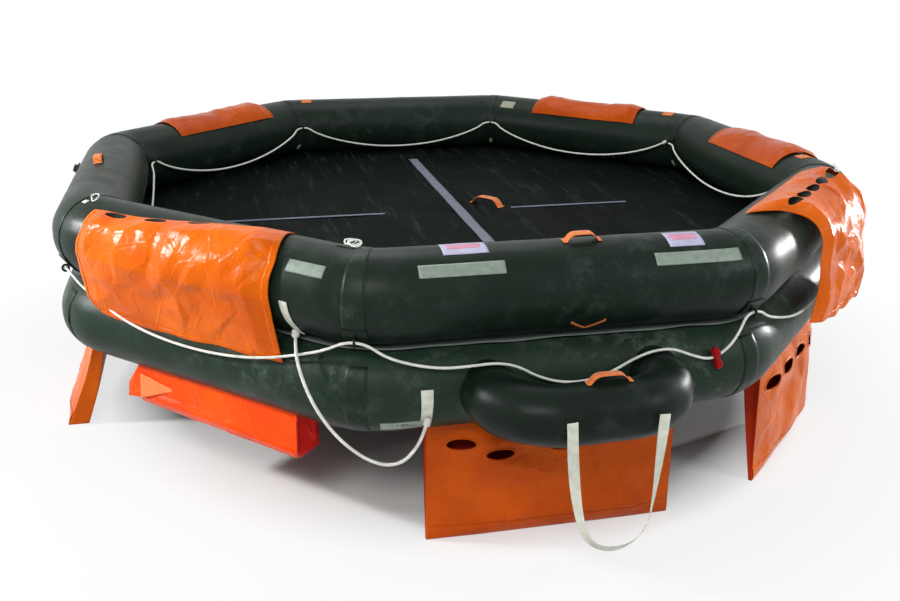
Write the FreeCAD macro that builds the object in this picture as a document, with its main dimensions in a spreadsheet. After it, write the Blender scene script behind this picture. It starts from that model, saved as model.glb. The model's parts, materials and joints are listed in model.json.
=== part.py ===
"""Inflated open reversible liferaft: two stacked octagonal buoyancy tubes with a floor between them.

Millimetres, +Z up.  The front side of the raft, with its boarding ramp, faces -Y.
The raft stands on the hems of its lower water pockets, at Z = 0.
Everything is laid out about the raft's own vertical axis.  At the end it is moved so that the
origin is the bottom centre of the box round the raft without its ropes.
"""
import FreeCAD, Part
import math
import os

from FreeCAD import Placement, Rotation, Vector
import Sketcher

OUT = "parts"
UP = Vector(0, 0, 1)
SIDES = {"front": -90, "front_right": -45, "right": 0, "back_right": 45,
         "back": 90, "back_left": 135, "left": 180, "front_left": 225}

doc = FreeCAD.newDocument("reversible_liferaft")
sheet = doc.addObject("Spreadsheet::Sheet", "Sizes")

SIZES = [
    ("flat_radius", 1894.0, "raft axis to the centre line of a straight side"),
    ("tube_radius", 190.0, "buoyancy tube"),
    ("corner_radius", 300.0, "centre line of a corner, which is one short gore"),
    ("bond_depth", 187.0, "tube centre to the flat where the tubes are bonded"),
    ("floor_thickness", 6.0, "coated cloth and its seam tape"),
    ("floor_flat_radius", 1880.0, "floor edge, inside the bond"),
    ("contact_height", 922.0, "mid height of the floor"),
    ("ramp_radius", 124.0, "boarding ramp tube"),
    ("ramp_half_width", 352.0, "centre line of a ramp leg from the middle of the ramp"),
    ("ramp_reach", 250.0, "ramp centre line out from the buoyancy tube"),
    ("ramp_bend", 230.0, "centre line of a ramp corner"),
    ("ramp_root", 60.0, "ends of the legs inside the lower tube, out from its centre line"),
    ("ramp_middle", 40.0, "ramp to the right of the front side's middle"),
    ("ramp_rise", 13.0, "ramp above the middle of the lower tube"),
    ("deck_thickness", 5.0, "cloth deck of the ramp"),
    ("drape_thickness", 9.0, "two plies of an upper pocket, lying on the tube"),
    ("pocket_thickness", 22.0, "two plies and the weighted hem of a lower pocket"),
    ("seat_depth", 60.0, "a lower pocket's top edge below the middle of the tube"),
    ("hole_half_length", 82.0, "oval water hole"),
    ("hole_half_height", 30.0, "oval water hole"),
    ("hole_drop", 120.0, "middle of the oval holes below the lower tube"),
    ("hole_share", 0.27, "spacing of the holes as a share of the pocket's width"),
    ("tape_thickness", 1.6, "retro-reflective tape and printed panels"),
    ("patch_thickness", 4.0, "bonded rubber patch"),
    ("eye_radius", 15.0, "middle of the rim of a rope lug"),
    ("eye_section", 4.5, "half the rim's width"),
    ("rope_radius", 6.0, "lifelines"),
    ("bridle_radius", 7.0, "tow bridle"),
    ("webbing_width", 42.0, "boarding step"),
    ("webbing_thickness", 5.0, "boarding step"),
    ("handle_width", 44.0, "webbing of a handle"),
    ("handle_rise", 34.0, "grip above the tube"),
    ("handle_foot", 46.0, "sewn foot of a handle"),
    ("handle_thickness", 4.0, "webbing of a handle"),
    ("bottle_radius", 74.0, "gas cylinder"),
    ("bottle_length", 560.0, "straight wall of the gas cylinder"),
]
for row, (alias, value, meaning) in enumerate(SIZES, start=1):
    sheet.set("A%d" % row, meaning)
    sheet.set("B%d" % row, str(value))
    sheet.setAlias("B%d" % row, alias)
doc.recompute()

MM = {alias: float(sheet.get(alias)) for alias, value, meaning in SIZES}
HALF_TURN = math.radians(22.5)
FLOOR_HALF = MM["floor_thickness"] / 2
TUBE_RISE = MM["bond_depth"] + FLOOR_HALF
UPPER_Z = MM["contact_height"] + TUBE_RISE
LOWER_Z = MM["contact_height"] - TUBE_RISE
CORNER_CENTRE = (MM["flat_radius"] - MM["corner_radius"]) / math.cos(HALF_TURN)
CORNER_REACH = CORNER_CENTRE + MM["corner_radius"]
JOINT = (MM["flat_radius"] - MM["corner_radius"]) * math.tan(HALF_TURN) + MM[
    "corner_radius"] * math.tan(HALF_TURN / 2)
RAMP_Z = LOWER_Z + MM["ramp_rise"]
RAMP_OUT = MM["flat_radius"] + MM["tube_radius"] + MM["ramp_reach"]

sub_parts = {}
cords = []


def bind(obj, **sizes):
    """Tie properties of an object to the sheet."""
    for name, expression in sizes.items():
        obj.setExpression(name, expression)
    return obj


def cell(text):
    """An expression in which every alias is looked up in the sheet."""
    for alias in sorted(MM, key=len, reverse=True):
        text = text.replace("[%s]" % alias, "Sizes.%s" % alias)
    return text


def add(kind, label, **sizes):
    obj = doc.addObject(kind, label)
    return bind(obj, **{name: cell(text) for name, text in sizes.items()})


def keep(obj, label):
    """Name an object as one of the raft's pieces."""
    obj.Label = label
    sub_parts[label] = obj
    return obj


def cut(label, base, tool):
    obj = doc.addObject("Part::Cut", label)
    obj.Base = base
    obj.Tool = tool
    return obj


def fuse(label, shapes):
    obj = doc.addObject("Part::MultiFuse", label)
    obj.Shapes = shapes
    return obj


def group(label, members):
    obj = doc.addObject("Part::Compound", label)
    obj.Links = members
    return obj


def fixed(label, shape):
    obj = doc.addObject("Part::Feature", label)
    obj.Shape = shape
    return obj


def on_side(side, out, along, height, turn=None):
    """A place on one side of the raft: out from its axis, along the side and up."""
    spin = Rotation(UP, SIDES[side])
    return Placement(spin.multVec(Vector(out, along, height)), spin * (turn or Rotation()))


def corner_point(index, reach, height, sideways=0.0):
    """A point at corner index, which follows side index anticlockwise from the right side."""
    angle = math.radians(22.5 + 45 * index)
    return Vector(reach * math.cos(angle) - sideways * math.sin(angle),
                  reach * math.sin(angle) + sideways * math.cos(angle), height)


ACROSS = Rotation(Vector(1, 0, 0), -90)


def tube_arc(top):
    """Turns a cylinder to lie along a side, with its sector starting top degrees above outward."""
    return ACROSS * Rotation(UP, -top)


# ---------------------------------------------------------------- buoyancy tubes and floor

def measure(sketch, kind, *geometry, value, expression):
    """A dimension of a sketch, driven by the sheet."""
    index = sketch.addConstraint(Sketcher.Constraint(kind, *geometry, value))
    sketch.setExpression("Constraints[%d]" % index, cell(expression))


def plane(body, role):
    return [f for f in body.Origin.OriginFeatures if f.Role == role][0]


def sketch_on(body, role, name):
    sketch = body.newObject("Sketcher::SketchObject", name)
    sketch.AttachmentSupport = (plane(body, role), [""])
    sketch.MapMode = "FlatFace"
    return sketch


def flattened_section(body, label, flat):
    """The round section of a tube, flattened where it is bonded, above (1) or below (-1)."""
    radius, depth = MM["tube_radius"], MM["bond_depth"]
    swing = math.asin(depth / radius)
    profile = sketch_on(body, "XZ_Plane", label + "_section")
    middle = Vector(MM["flat_radius"], 0, 0)
    start, end = (math.pi - swing, 2 * math.pi + swing) if flat > 0 else (-swing, math.pi + swing)
    arc = profile.addGeometry(Part.ArcOfCircle(Part.Circle(middle, UP, radius), start, end))
    half = math.sqrt(radius ** 2 - depth ** 2)
    line = profile.addGeometry(Part.LineSegment(middle + Vector(half, flat * depth, 0),
                                                middle + Vector(-half, flat * depth, 0)))
    first, last = (2, 1) if flat > 0 else (1, 2)
    profile.addConstraint(Sketcher.Constraint("Coincident", arc, first, line, 1))
    profile.addConstraint(Sketcher.Constraint("Coincident", arc, last, line, 2))
    profile.addConstraint(Sketcher.Constraint("Horizontal", line))
    profile.addConstraint(Sketcher.Constraint("PointOnObject", arc, 3, -1))
    measure(profile, "DistanceX", -1, 1, arc, 3, value=middle.x, expression="[flat_radius]")
    measure(profile, "Radius", arc, value=radius, expression="[tube_radius]")
    measure(profile, "DistanceY", -1, 1, line, 1, value=flat * depth,
            expression="%d*[bond_depth]" % flat)
    return profile


def centre_line(body, label, places, expressions):
    """A run of straight lines in the plan, from point to point; each point is bound."""
    spine = sketch_on(body, "XY_Plane", label + "_centre_line")
    for here, there in zip(places, places[1:]):
        spine.addGeometry(Part.LineSegment(here, there))
    for k in range(len(places) - 2):
        spine.addConstraint(Sketcher.Constraint("Coincident", k, 2, k + 1, 1))
    for k, (place, (across, along)) in enumerate(zip(places, expressions)):
        end = (0, 1) if k == 0 else (k - 1, 2)
        measure(spine, "DistanceX", -1, 1, *end, value=place.x, expression=across)
        if place.y:
            measure(spine, "DistanceY", -1, 1, *end, value=place.y, expression=along)
        else:
            spine.addConstraint(Sketcher.Constraint("PointOnObject", *end, -1))
    return spine


def mitred_pipe(body, label, profile, spine, runs):
    """The section carried along the line, with a mitred joint at each of its points."""
    doc.recompute()
    pipe = body.newObject("PartDesign::AdditivePipe", label)
    pipe.Profile = profile
    pipe.Spine = (spine, ["Edge%d" % (k + 1) for k in range(runs)])
    pipe.Transition = "Right corner"
    doc.recompute()
    return pipe


def buoyancy_tube(label, height, flat):
    """An octagonal tube: one eighth is half a side, a mitred corner gore and half a side."""
    body = doc.addObject("PartDesign::Body", label)
    profile = flattened_section(body, label, flat)
    reach = MM["flat_radius"]
    along = "(([flat_radius]-[corner_radius])*tan(22.5)+[corner_radius]*tan(11.25))"
    root = math.sqrt(0.5)
    places = [Vector(reach, 0, 0), Vector(reach, JOINT, 0),
              Vector(root * (reach + JOINT), root * (reach - JOINT), 0),
              Vector(root * reach, root * reach, 0)]
    spine = centre_line(body, label, places, [
        ("[flat_radius]", "0"), ("[flat_radius]", along),
        ("([flat_radius]+%s)*sin(45)" % along, "([flat_radius]-%s)*sin(45)" % along),
        ("[flat_radius]*cos(45)", "[flat_radius]*sin(45)")])
    eighth = mitred_pipe(body, label + "_eighth", profile, spine, 3)
    ring = body.newObject("PartDesign::PolarPattern", label + "_ring")
    ring.Originals = [eighth]
    ring.Axis = (plane(body, "Z_Axis"), [""])
    ring.Angle = 360
    ring.Occurrences = 8
    body.Tip = ring
    body.Placement = Placement(Vector(0, 0, height), Rotation())
    doc.recompute()
    return keep(body, label)


def floor_sheet():
    floor = add("Part::Prism", "floor", Circumradius="[floor_flat_radius]/cos(22.5)",
                Height="[floor_thickness]")
    floor.Polygon = 8
    floor.Placement = Placement(Vector(0, 0, MM["contact_height"] - FLOOR_HALF),
                                Rotation(UP, 22.5))
    keep(floor, "floor")


# ---------------------------------------------------------------- boarding ramp

def side_cylinder(name, side, height, radius="[tube_radius]", out=MM["flat_radius"]):
    """The straight tube of a side, used to shape what is bonded on it."""
    tool = add("Part::Cylinder", name, Radius=radius)
    tool.Height = 2 * JOINT
    tool.Placement = on_side(side, out, -JOINT, height, ACROSS)
    return tool


def boarding_ramp():
    """A U of tube bonded on the lower tube, with a cloth deck inside the U.

    Each corner is two short gores between three mitred joints.
    """
    body = doc.addObject("PartDesign::Body", "ramp_tube_body")
    root = MM["flat_radius"] + MM["ramp_root"]
    half, bend, reach = MM["ramp_half_width"], MM["ramp_bend"], RAMP_OUT - root
    long_reach = "([tube_radius]+[ramp_reach]-[ramp_root])"
    places, texts = [], []
    for sign, turns in ((-1, (15, 45, 75)), (1, (75, 45, 15))):
        for turn in turns:
            angle = math.radians(turn)
            out = bend / math.cos(math.radians(15))
            places.append(Vector(sign * (half - bend + out * math.cos(angle)),
                                 -(reach - bend + out * math.sin(angle)), 0))
            texts.append((
                "%d*([ramp_half_width]-[ramp_bend]+[ramp_bend]/cos(15)*cos(%d))" % (sign, turn),
                "-(%s-[ramp_bend]+[ramp_bend]/cos(15)*sin(%d))" % (long_reach, turn)))
    places = [Vector(-half, 0, 0)] + places + [Vector(half, 0, 0)]
    texts = [("-[ramp_half_width]", "0")] + texts + [("[ramp_half_width]", "0")]
    section = sketch_on(body, "XZ_Plane", "ramp_section")
    ring = section.addGeometry(Part.Circle(Vector(-half, 0, 0), UP, MM["ramp_radius"]))
    section.addConstraint(Sketcher.Constraint("PointOnObject", ring, 3, -1))
    measure(section, "DistanceX", -1, 1, ring, 3, value=-half, expression="-[ramp_half_width]")
    measure(section, "Radius", ring, value=MM["ramp_radius"], expression="[ramp_radius]")
    spine = centre_line(body, "ramp", places, texts)
    body.Tip = mitred_pipe(body, "ramp_gores", section, spine, len(places) - 1)
    body.Placement = Placement(Vector(MM["ramp_middle"], -root, RAMP_Z), Rotation())
    doc.recompute()
    keep(cut("ramp_tube", body, side_cylinder("ramp_seat", "front", LOWER_Z)),
         "boarding_ramp_tube")

    deck = add("Part::Box", "deck_cloth", Height="[deck_thickness]",
               Length="2*[ramp_half_width]", Width="[tube_radius]+[ramp_reach]-[ramp_root]")
    deck.Placement = Placement(Vector(MM["ramp_middle"] - half, -RAMP_OUT,
                                      RAMP_Z - MM["deck_thickness"] / 2), Rotation())
    keep(cut("deck_cut", deck, fuse("deck_edges", [body, side_cylinder(
        "deck_seat", "front", LOWER_Z)])), "boarding_ramp_deck")


# ---------------------------------------------------------------- water pockets

def oval_row(name, side, out, height, middle, pitch, count, depth):
    """Elliptic cutters that run outward through a pocket."""
    cutters = []
    for k in range(count):
        along = middle + (k - (count - 1) / 2) * pitch
        oval = add("Part::Ellipse", "%s_oval_%d" % (name, k), MajorRadius="[hole_half_length]",
                   MinorRadius="[hole_half_height]")
        hole = doc.addObject("Part::Extrusion", "%s_hole_%d" % (name, k))
        hole.Base = oval
        hole.Dir = Vector(0, 0, 1)
        hole.LengthFwd = depth
        hole.LengthRev = depth
        hole.Solid = True
        turn = Rotation(Vector(0, 1, 0), 90) * Rotation(UP, 90)
        oval.Placement = on_side(side, out, along, height, turn)
        hole.DirMode = "Normal"
        cutters.append(hole)
    return cutters


def lower_pocket(side, middle, width, out, bottom=0.0):
    """A flat bag of two plies with oval holes, hung from the underside of the lower tube."""
    name = side + "_lower_pocket"
    back = out - MM["pocket_thickness"]
    bag = add("Part::Box", name + "_bag", Length="[pocket_thickness]")
    bag.Width = width
    bag.Height = LOWER_Z - bottom - MM["seat_depth"]
    bag.Placement = on_side(side, back, middle - width / 2, bottom)
    holes = oval_row(name, side, back, LOWER_Z - MM["tube_radius"] - MM["hole_drop"], middle,
                     width * MM["hole_share"], 3, 60)
    tools = fuse(name + "_tools", [side_cylinder(name + "_seat", side, LOWER_Z)] + holes)
    keep(cut(name + "_cut", bag, tools), name)


def folded_pocket(side, middle, width, depth, bottom):
    """A lower pocket still folded into a bundle under its tube."""
    name = side + "_lower_pocket"
    bag = doc.addObject("Part::Box", name + "_bag")
    bag.Length = depth
    bag.Width = width
    bag.Height = LOWER_Z - bottom - MM["seat_depth"]
    bag.Placement = on_side(side, MM["flat_radius"] - depth / 2, middle - width / 2, bottom)
    keep(cut(name + "_cut", bag, side_cylinder(name + "_seat", side, LOWER_Z)), name)


def draped_pocket(side, middle, width, top, hang):
    """An upper pocket: it lies over the tube from the inside and hangs down from its widest line."""
    name = side + "_upper_pocket"
    skin = add("Part::Cylinder", name + "_skin", Radius="[tube_radius]+[drape_thickness]")
    skin.Angle = top
    skin.Height = width
    skin.Placement = on_side(side, MM["flat_radius"], middle - width / 2, UPPER_Z, tube_arc(top))
    apron = add("Part::Box", name + "_apron", Length="[drape_thickness]")
    apron.Width = width
    apron.Height = hang
    apron.Placement = on_side(side, MM["flat_radius"] + MM["tube_radius"], middle - width / 2,
                              UPPER_Z - hang)
    core = side_cylinder(name + "_core", side, UPPER_Z)
    keep(cut(name + "_cut", fuse(name + "_cloth", [skin, apron]), core), name)


# ---------------------------------------------------------------- bonded patches and tapes

def tube_patch(name, side, height, middle, width, top, sweep, thickness="[patch_thickness]"):
    """A thin patch on a straight side: width along it, sweep degrees down from top."""
    skin = add("Part::Cylinder", name + "_skin", Radius="[tube_radius]+" + thickness)
    skin.Angle = sweep
    skin.Height = width
    skin.Placement = on_side(side, MM["flat_radius"], middle - width / 2, height, tube_arc(top))
    return cut(name, skin, side_cylinder(name + "_core", side, height))


def tapes(label, rows):
    """Reflective tapes: side, tube, middle, width, top and sweep in degrees."""
    strips = []
    for k, (side, height, middle, width, top, sweep) in enumerate(rows):
        strips.append(tube_patch("%s_%d" % (label, k), side, height, middle, width, top, sweep,
                                 "[tape_thickness]"))
    keep(group(label + "_group", strips), label)


def handle_face(length, width, rise, foot):
    """Side outline of a sewn handle, as a face: two flat feet and a raised grip between them."""
    half, thick = length / 2, MM["handle_thickness"]
    outer = [(-half - foot, 0), (-half - foot, thick), (-half, thick), (-half + rise, rise),
             (half - rise, rise), (half, thick), (half + foot, thick), (half + foot, 0)]
    inner = [(half - thick, 0), (half - rise - thick / 2, rise - thick),
             (-half + rise + thick / 2, rise - thick), (-half + thick, 0)]
    outline = [Vector(-width / 2, a, b) for a, b in outer + inner + outer[:1]]
    return Part.Face(Part.makePolygon(outline)).extrude(Vector(width, 0, 0))


def grab_handle(label, side, height, middle, length, theta, radius="tube_radius",
                out=MM["flat_radius"]):
    """A webbing handle on a straight tube, theta degrees above outward."""
    strap = fixed(label + "_strap", handle_face(length, MM["handle_width"], MM["handle_rise"],
                                                MM["handle_foot"]))
    angle = math.radians(theta)
    seat = MM[radius] - 2.5
    strap.Placement = on_side(side, out + seat * math.cos(angle), middle,
                              height + seat * math.sin(angle),
                              Rotation(Vector(0, 1, 0), 90 - theta))
    core = side_cylinder(label + "_core", side, height, "[%s]" % radius, out)
    keep(cut(label + "_cut", strap, core), label)


def floor_piece(label, x0, y0, length, width, thickness, angle, below=False):
    """A strap or mat laid on the floor's top, or under it."""
    strap = doc.addObject("Part::Box", label)
    strap.Length = length
    strap.Width = width
    strap.Height = thickness
    base = MM["contact_height"] + (-FLOOR_HALF - thickness if below else FLOOR_HALF)
    spin = Rotation(UP, angle)
    strap.Placement = Placement(Vector(x0, y0, base) - spin.multVec(Vector(0, width / 2, 0)),
                                spin)
    return strap


def line_eyes(label, inner, theta):
    """At each corner a bonded patch with a lug, whose hole lets the rope run round the raft."""
    members = []
    lift = MM["tube_radius"] + MM["patch_thickness"] + MM["eye_radius"] + MM["eye_section"] - 1
    angle = math.radians(theta)
    reach = CORNER_REACH + lift * math.cos(angle)
    height = UPPER_Z + lift * math.sin(angle)
    width = 40 if inner else 100
    for k in range(8):
        name = "%s_%d" % (label, k)
        spin = Rotation(UP, 22.5 + 45 * k)
        skin = add("Part::Cylinder", name + "_skin", Radius="[tube_radius]+[patch_thickness]")
        skin.Angle = 30
        skin.Height = width
        skin.Placement = Placement(corner_point(k, CORNER_REACH, UPPER_Z, -width / 2),
                                   spin * tube_arc(theta + 15))
        core = add("Part::Cylinder", name + "_core", Radius="[tube_radius]")
        core.Height = 200
        core.Placement = Placement(corner_point(k, CORNER_REACH, UPPER_Z, -100), spin * ACROSS)
        rings = []
        for part, across, thick in (("rim", "[eye_radius]+[eye_section]", 8.0),
                                    ("hole", "[eye_radius]-[eye_section]", 20.0)):
            ring = add("Part::Prism", "%s_%s" % (name, part), Circumradius=across)
            ring.Polygon = 12
            ring.Height = thick
            ring.Placement = Placement(corner_point(k, reach, height, -thick / 2),
                                       spin * ACROSS)
            rings.append(ring)
        lug = fuse(name + "_lug", [cut(name + "_patch", skin, core), rings[0]])
        members.append(cut(name, lug, rings[1]))
    keep(group(label + "_group", members), label)
    return reach, height


def corner_patch(name, index, height, width, top, sweep, thickness):
    """A thin patch round a corner gore."""
    spin = Rotation(UP, 22.5 + 45 * index)
    skin = add("Part::Cylinder", name + "_skin", Radius="[tube_radius]+" + thickness)
    skin.Angle = sweep
    skin.Height = width
    skin.Placement = Placement(corner_point(index, CORNER_REACH, height, -width / 2),
                               spin * tube_arc(top))
    core = add("Part::Cylinder", name + "_core", Radius="[tube_radius]")
    core.Height = 200
    core.Placement = Placement(corner_point(index, CORNER_REACH, height, -100), spin * ACROSS)
    return cut(name, skin, core)


def v_strap():
    """A doubled strap in a V, sewn on the lower outside of the upper tube."""
    top, low, half = 62.0, 0.0, 75.0
    wide = 17.0
    outline = [(-half, top), (0, low), (half, top), (half, top - wide), (0, low - wide),
               (-half, top - wide)]
    face = Part.Face(Part.makePolygon([Vector(0, a, b) for a, b in outline + outline[:1]]))
    prism = fixed("v_strap_outline", face.extrude(Vector(260, 0, 0)))
    prism.Placement = on_side("front", MM["flat_radius"], 95, UPPER_Z - 160)
    shell = tube_patch("v_strap_shell", "front", UPPER_Z, 95, 200, 0, 70)
    strap = doc.addObject("Part::Common", "v_strap")
    strap.Base = shell
    strap.Tool = prism
    keep(strap, "front_v_strap")


def gas_cylinder():
    """The gas cylinder with its valve and hose, strapped under the floor behind the front side."""
    radius = MM["bottle_radius"]
    length = MM["bottle_length"]
    y, x0 = -1420.0, -length / 2
    z = MM["contact_height"] - FLOOR_HALF - radius
    lay = Rotation(Vector(0, 1, 0), 90)
    neck, neck_end = 19.0, length + radius + 28
    half = [(0, -radius), (radius * 0.5, -radius * 0.86), (radius * 0.86, -radius * 0.5),
            (radius, 0), (radius, length), (radius * 0.86, length + radius * 0.5),
            (radius * 0.5, length + radius * 0.86), (neck, length + radius + 4),
            (neck, neck_end), (0, neck_end)]
    outline = Part.Face(Part.makePolygon([Vector(a, 0, b) for a, b in half + half[:1]]))
    bottle = fixed("bottle", outline.revolve(Vector(), UP, 360))
    bottle.Placement = Placement(Vector(x0, y, z), lay)
    keep(bottle, "gas_cylinder")

    head_x = -x0 + radius + 28
    block = doc.addObject("Part::Box", "valve_block")
    block.Length, block.Width, block.Height = 46, 44, 44
    block.Placement = Placement(Vector(head_x, y - 22, z - 22), Rotation())
    cap = doc.addObject("Part::Cylinder", "valve_cap")
    cap.Radius, cap.Height = 17, 22
    cap.Placement = Placement(Vector(head_x + 46, y, z), lay)
    outlet = doc.addObject("Part::Cylinder", "valve_outlet")
    outlet.Radius, outlet.Height = 13, 20
    outlet.Placement = Placement(Vector(head_x + 23, y - 22, z), Rotation(Vector(1, 0, 0), 90))
    keep(fuse("valve", [block, cap, outlet]), "cylinder_valve")

    bands = []
    width, cloth, foot_length = 50.0, 3.0, 60.0
    for k, x in enumerate((-170.0, 170.0)):
        shapes = {}
        for part, grow, rise in (("outer", cloth, 0.0), ("inner", 0.0, 10.0)):
            name = "band_%d_%s" % (k, part)
            around = doc.addObject("Part::Cylinder", name + "_round")
            around.Radius, around.Height = radius + grow, width + 2 * rise
            around.Placement = Placement(Vector(x - width / 2 - rise, y, z), lay)
            sides = doc.addObject("Part::Box", name + "_sides")
            sides.Length, sides.Width = width + 2 * rise, 2 * (radius + grow)
            sides.Height = radius + rise
            sides.Placement = Placement(Vector(x - width / 2 - rise, y - radius - grow, z),
                                        Rotation())
            shapes[part] = fuse(name, [around, sides])
        feet = []
        for sign in (-1, 1):
            foot = doc.addObject("Part::Box", "band_%d_foot_%d" % (k, sign))
            foot.Length, foot.Width, foot.Height = width, foot_length, cloth
            near = radius + 1 if sign > 0 else -(radius + 1 + foot_length)
            foot.Placement = Placement(Vector(x - width / 2, y + near, z + radius - cloth),
                                       Rotation())
            feet.append(foot)
        loop = cut("band_%d_loop" % k, shapes["outer"], shapes["inner"])
        bands.append(fuse("band_%d" % k, [loop] + feet))
    keep(group("bands", bands), "cylinder_straps")

    start = Vector(head_x + 23, y - 42, z)
    wall_y = -(MM["flat_radius"] - MM["tube_radius"])
    points = [start, start + Vector(0, -60, 0), start + Vector(14, -118, -26),
              start + Vector(34, -166, -66), Vector(start.x + 50, wall_y - 6, z - 112)]
    route, _ = arc_route(points)
    hose = fixed("hose_sweep", bar(route, ring_face(points[0], points[1], 11, 12)))
    keep(cut("hose", hose, side_cylinder("hose_seat", "front", LOWER_Z)), "inflation_hose")


def valves():
    """Topping-up and relief valves: turned discs with a cap, bonded on the tubes."""
    for label, side, height, along, theta in (
            ("upper_inflation_valve", "back", UPPER_Z, -420, 8),
            ("lower_inflation_valve", "back", LOWER_Z, 420, -8),
            ("upper_relief_valve", "left", UPPER_Z, -380, 20),
            ("lower_relief_valve", "right", LOWER_Z, 380, -20)):
        parts = []
        for k, (radius, start, end) in enumerate(((36, 180, 197), (24, 197, 208), (20, 208, 216))):
            disc = doc.addObject("Part::Prism", "%s_%d" % (label, k))
            disc.Polygon = 16
            disc.Circumradius = radius
            disc.Height = end - start
            angle = math.radians(theta)
            disc.Placement = on_side(side, MM["flat_radius"] + start * math.cos(angle), along,
                                     height + start * math.sin(angle),
                                     Rotation(Vector(0, 1, 0), 90 - theta))
            parts.append(disc)
        keep(cut(label + "_cut", fuse(label + "_body", parts),
                 side_cylinder(label + "_core", side, height)), label)


# ---------------------------------------------------------------- ropes and webbing

def arc_route(points):
    """Straight runs joined by tangent arcs, each as large as its two runs allow."""
    edges, radii = [], []
    start = points[0]
    for k in range(1, len(points) - 1):
        before, here, after = points[k - 1], points[k], points[k + 1]
        come, go = (here - before), (after - here)
        run = min(come.Length, go.Length)
        turn = come.getAngle(go)
        back = 0.45 * run
        radii.append(back / math.tan(turn / 2))
        come.normalize()
        go.normalize()
        tangent_in, tangent_out = here - come * back, here + go * back
        bisector = (go - come)
        bisector.normalize()
        middle = here + bisector * (radii[-1] / math.cos(turn / 2) - radii[-1])
        edges.append(Part.LineSegment(start, tangent_in).toShape())
        edges.append(Part.Arc(tangent_in, middle, tangent_out).toShape())
        start = tangent_out
    edges.append(Part.LineSegment(start, points[-1]).toShape())
    return Part.Wire(edges), radii


def ring_face(place, ahead, radius, sides):
    """A regular polygon across the start of a route, of the same area as the round section."""
    size = radius * math.sqrt(2 * math.pi / sides / math.sin(2 * math.pi / sides))
    turn = Rotation(UP, ahead - place)
    corners = [place + turn.multVec(Vector(size * math.cos(2 * math.pi * k / sides),
                                           size * math.sin(2 * math.pi * k / sides), 0))
               for k in range(sides)]
    return Part.Face(Part.makePolygon(corners + corners[:1]))


def bar(route, section):
    """A bar along a route: the section is pushed along each run and turned about each arc."""
    pieces = []
    for edge in route.OrderedEdges:
        if isinstance(edge.Curve, Part.Line):
            step = edge.valueAt(edge.LastParameter) - edge.valueAt(edge.FirstParameter)
            pieces.append(section.extrude(step))
            section = section.translated(step)
        else:
            centre, axis = edge.Curve.Center, edge.Curve.Axis
            turn = math.degrees(edge.Length / edge.Curve.Radius)
            pieces.append(section.revolve(centre, axis, turn))
            section = section.rotated(centre, axis, turn)
    return pieces[0].multiFuse(pieces[1:])


def rope(label, points, radius, knots=()):
    """A rope along its route; its ends are buried in knots, which it meets face to face."""
    route, radii = arc_route(points)
    section = ring_face(points[0], points[1], radius, 6)
    solid = bar(route, section)
    print("%s: %.3f m, tightest arc %.0f mm, volume over section times length %.4f"
          % (label, route.Length / 1000, min(radii),
             solid.Volume / (section.Area * route.Length)))
    for knot in knots:
        solid = solid.cut(knot)
    keep(fixed(label, solid), label)
    cords.append(label)


def side_point(side, out, along, height):
    return Rotation(UP, SIDES[side]).multVec(Vector(out, along, height))


ROUND = ["back_right", "back", "back_left", "left", "front_left", "front", "front_right",
         "right"]
EYE_STEP = 42.0
KNOT_STEP = 34.0
# Along a side from its middle as a share of the half span, and the drop below the eyes.
INNER_SAG = [(-0.86, 38.0), (-0.66, 88.0), (-0.44, 124.0), (-0.21, 145.0), (0.03, 151.0),
             (0.26, 143.0), (0.49, 118.0), (0.70, 82.0), (0.88, 34.0)]
# Along a side from its middle, out from the raft's axis, and height.
OUTER_SAG = [(-706.0, 2050.0, 921.0), (-560.0, 2065.0, 872.0), (-405.0, 2084.0, 832.0),
             (-240.0, 2095.0, 808.0), (-70.0, 2099.0, 797.0), (100.0, 2099.0, 799.0),
             (265.0, 2094.0, 812.0), (425.0, 2083.0, 838.0), (575.0, 2064.0, 879.0),
             (712.0, 2050.0, 926.0)]
FRONT_SAG = [(-722.0, 2050.0, 916.0), (-612.0, 2064.0, 880.0), (-500.0, 2076.0, 862.0),
             (-395.0, 2096.0, 872.0), (-300.0, 2112.0, 884.0), (-212.0, 2108.0, 862.0),
             (-128.0, 2099.0, 806.0), (-24.0, 2098.0, 768.0), (88.0, 2098.0, 765.0),
             (190.0, 2099.0, 796.0), (272.0, 2108.0, 848.0), (352.0, 2114.0, 880.0),
             (440.0, 2110.0, 882.0), (532.0, 2092.0, 838.0), (626.0, 2090.0, 806.0),
             (706.0, 2078.0, 846.0), (760.0, 2060.0, 904.0)]
BRIDLE = [(-1045.0, -1812.0, 950.0), (-1054.0, -1880.0, 905.0), (-1046.0, -1946.0, 848.0),
          (-1024.0, -1992.0, 778.0), (-990.0, -2022.0, 703.0), (-942.0, -2053.0, 630.0),
          (-882.0, -2080.0, 566.0), (-812.0, -2102.0, 514.0), (-738.0, -2114.0, 484.0),
          (-668.0, -2118.0, 494.0), (-617.0, -2114.0, 546.0), (-587.0, -2104.0, 598.0),
          (-566.0, -2080.0, 640.0)]
# Across the front and up, in the upright plane of the webbing.
STEP = [(-103.0, 775.0), (-97.0, 672.0), (-89.0, 580.0), (-78.0, 490.0), (-62.0, 400.0),
        (-40.0, 314.0), (-4.0, 251.0), (59.0, 215.0), (131.0, 215.0), (194.0, 251.0),
        (230.0, 314.0), (241.0, 400.0), (248.0, 490.0), (253.0, 580.0), (257.0, 670.0),
        (261.0, 775.0)]


def round_route(reach, height, side_points):
    """A rope from a knot at the first corner round the raft, through an eye at each corner."""
    points = [corner_point(0, reach, height, KNOT_STEP)]
    for k, side in enumerate(ROUND):
        if k:
            points += [corner_point(k, reach, height, -EYE_STEP),
                       corner_point(k, reach, height, EYE_STEP)]
        points += side_points(side)
    points += [corner_point(0, reach, height, -EYE_STEP),
               corner_point(0, reach, height, KNOT_STEP)]
    return points


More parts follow.
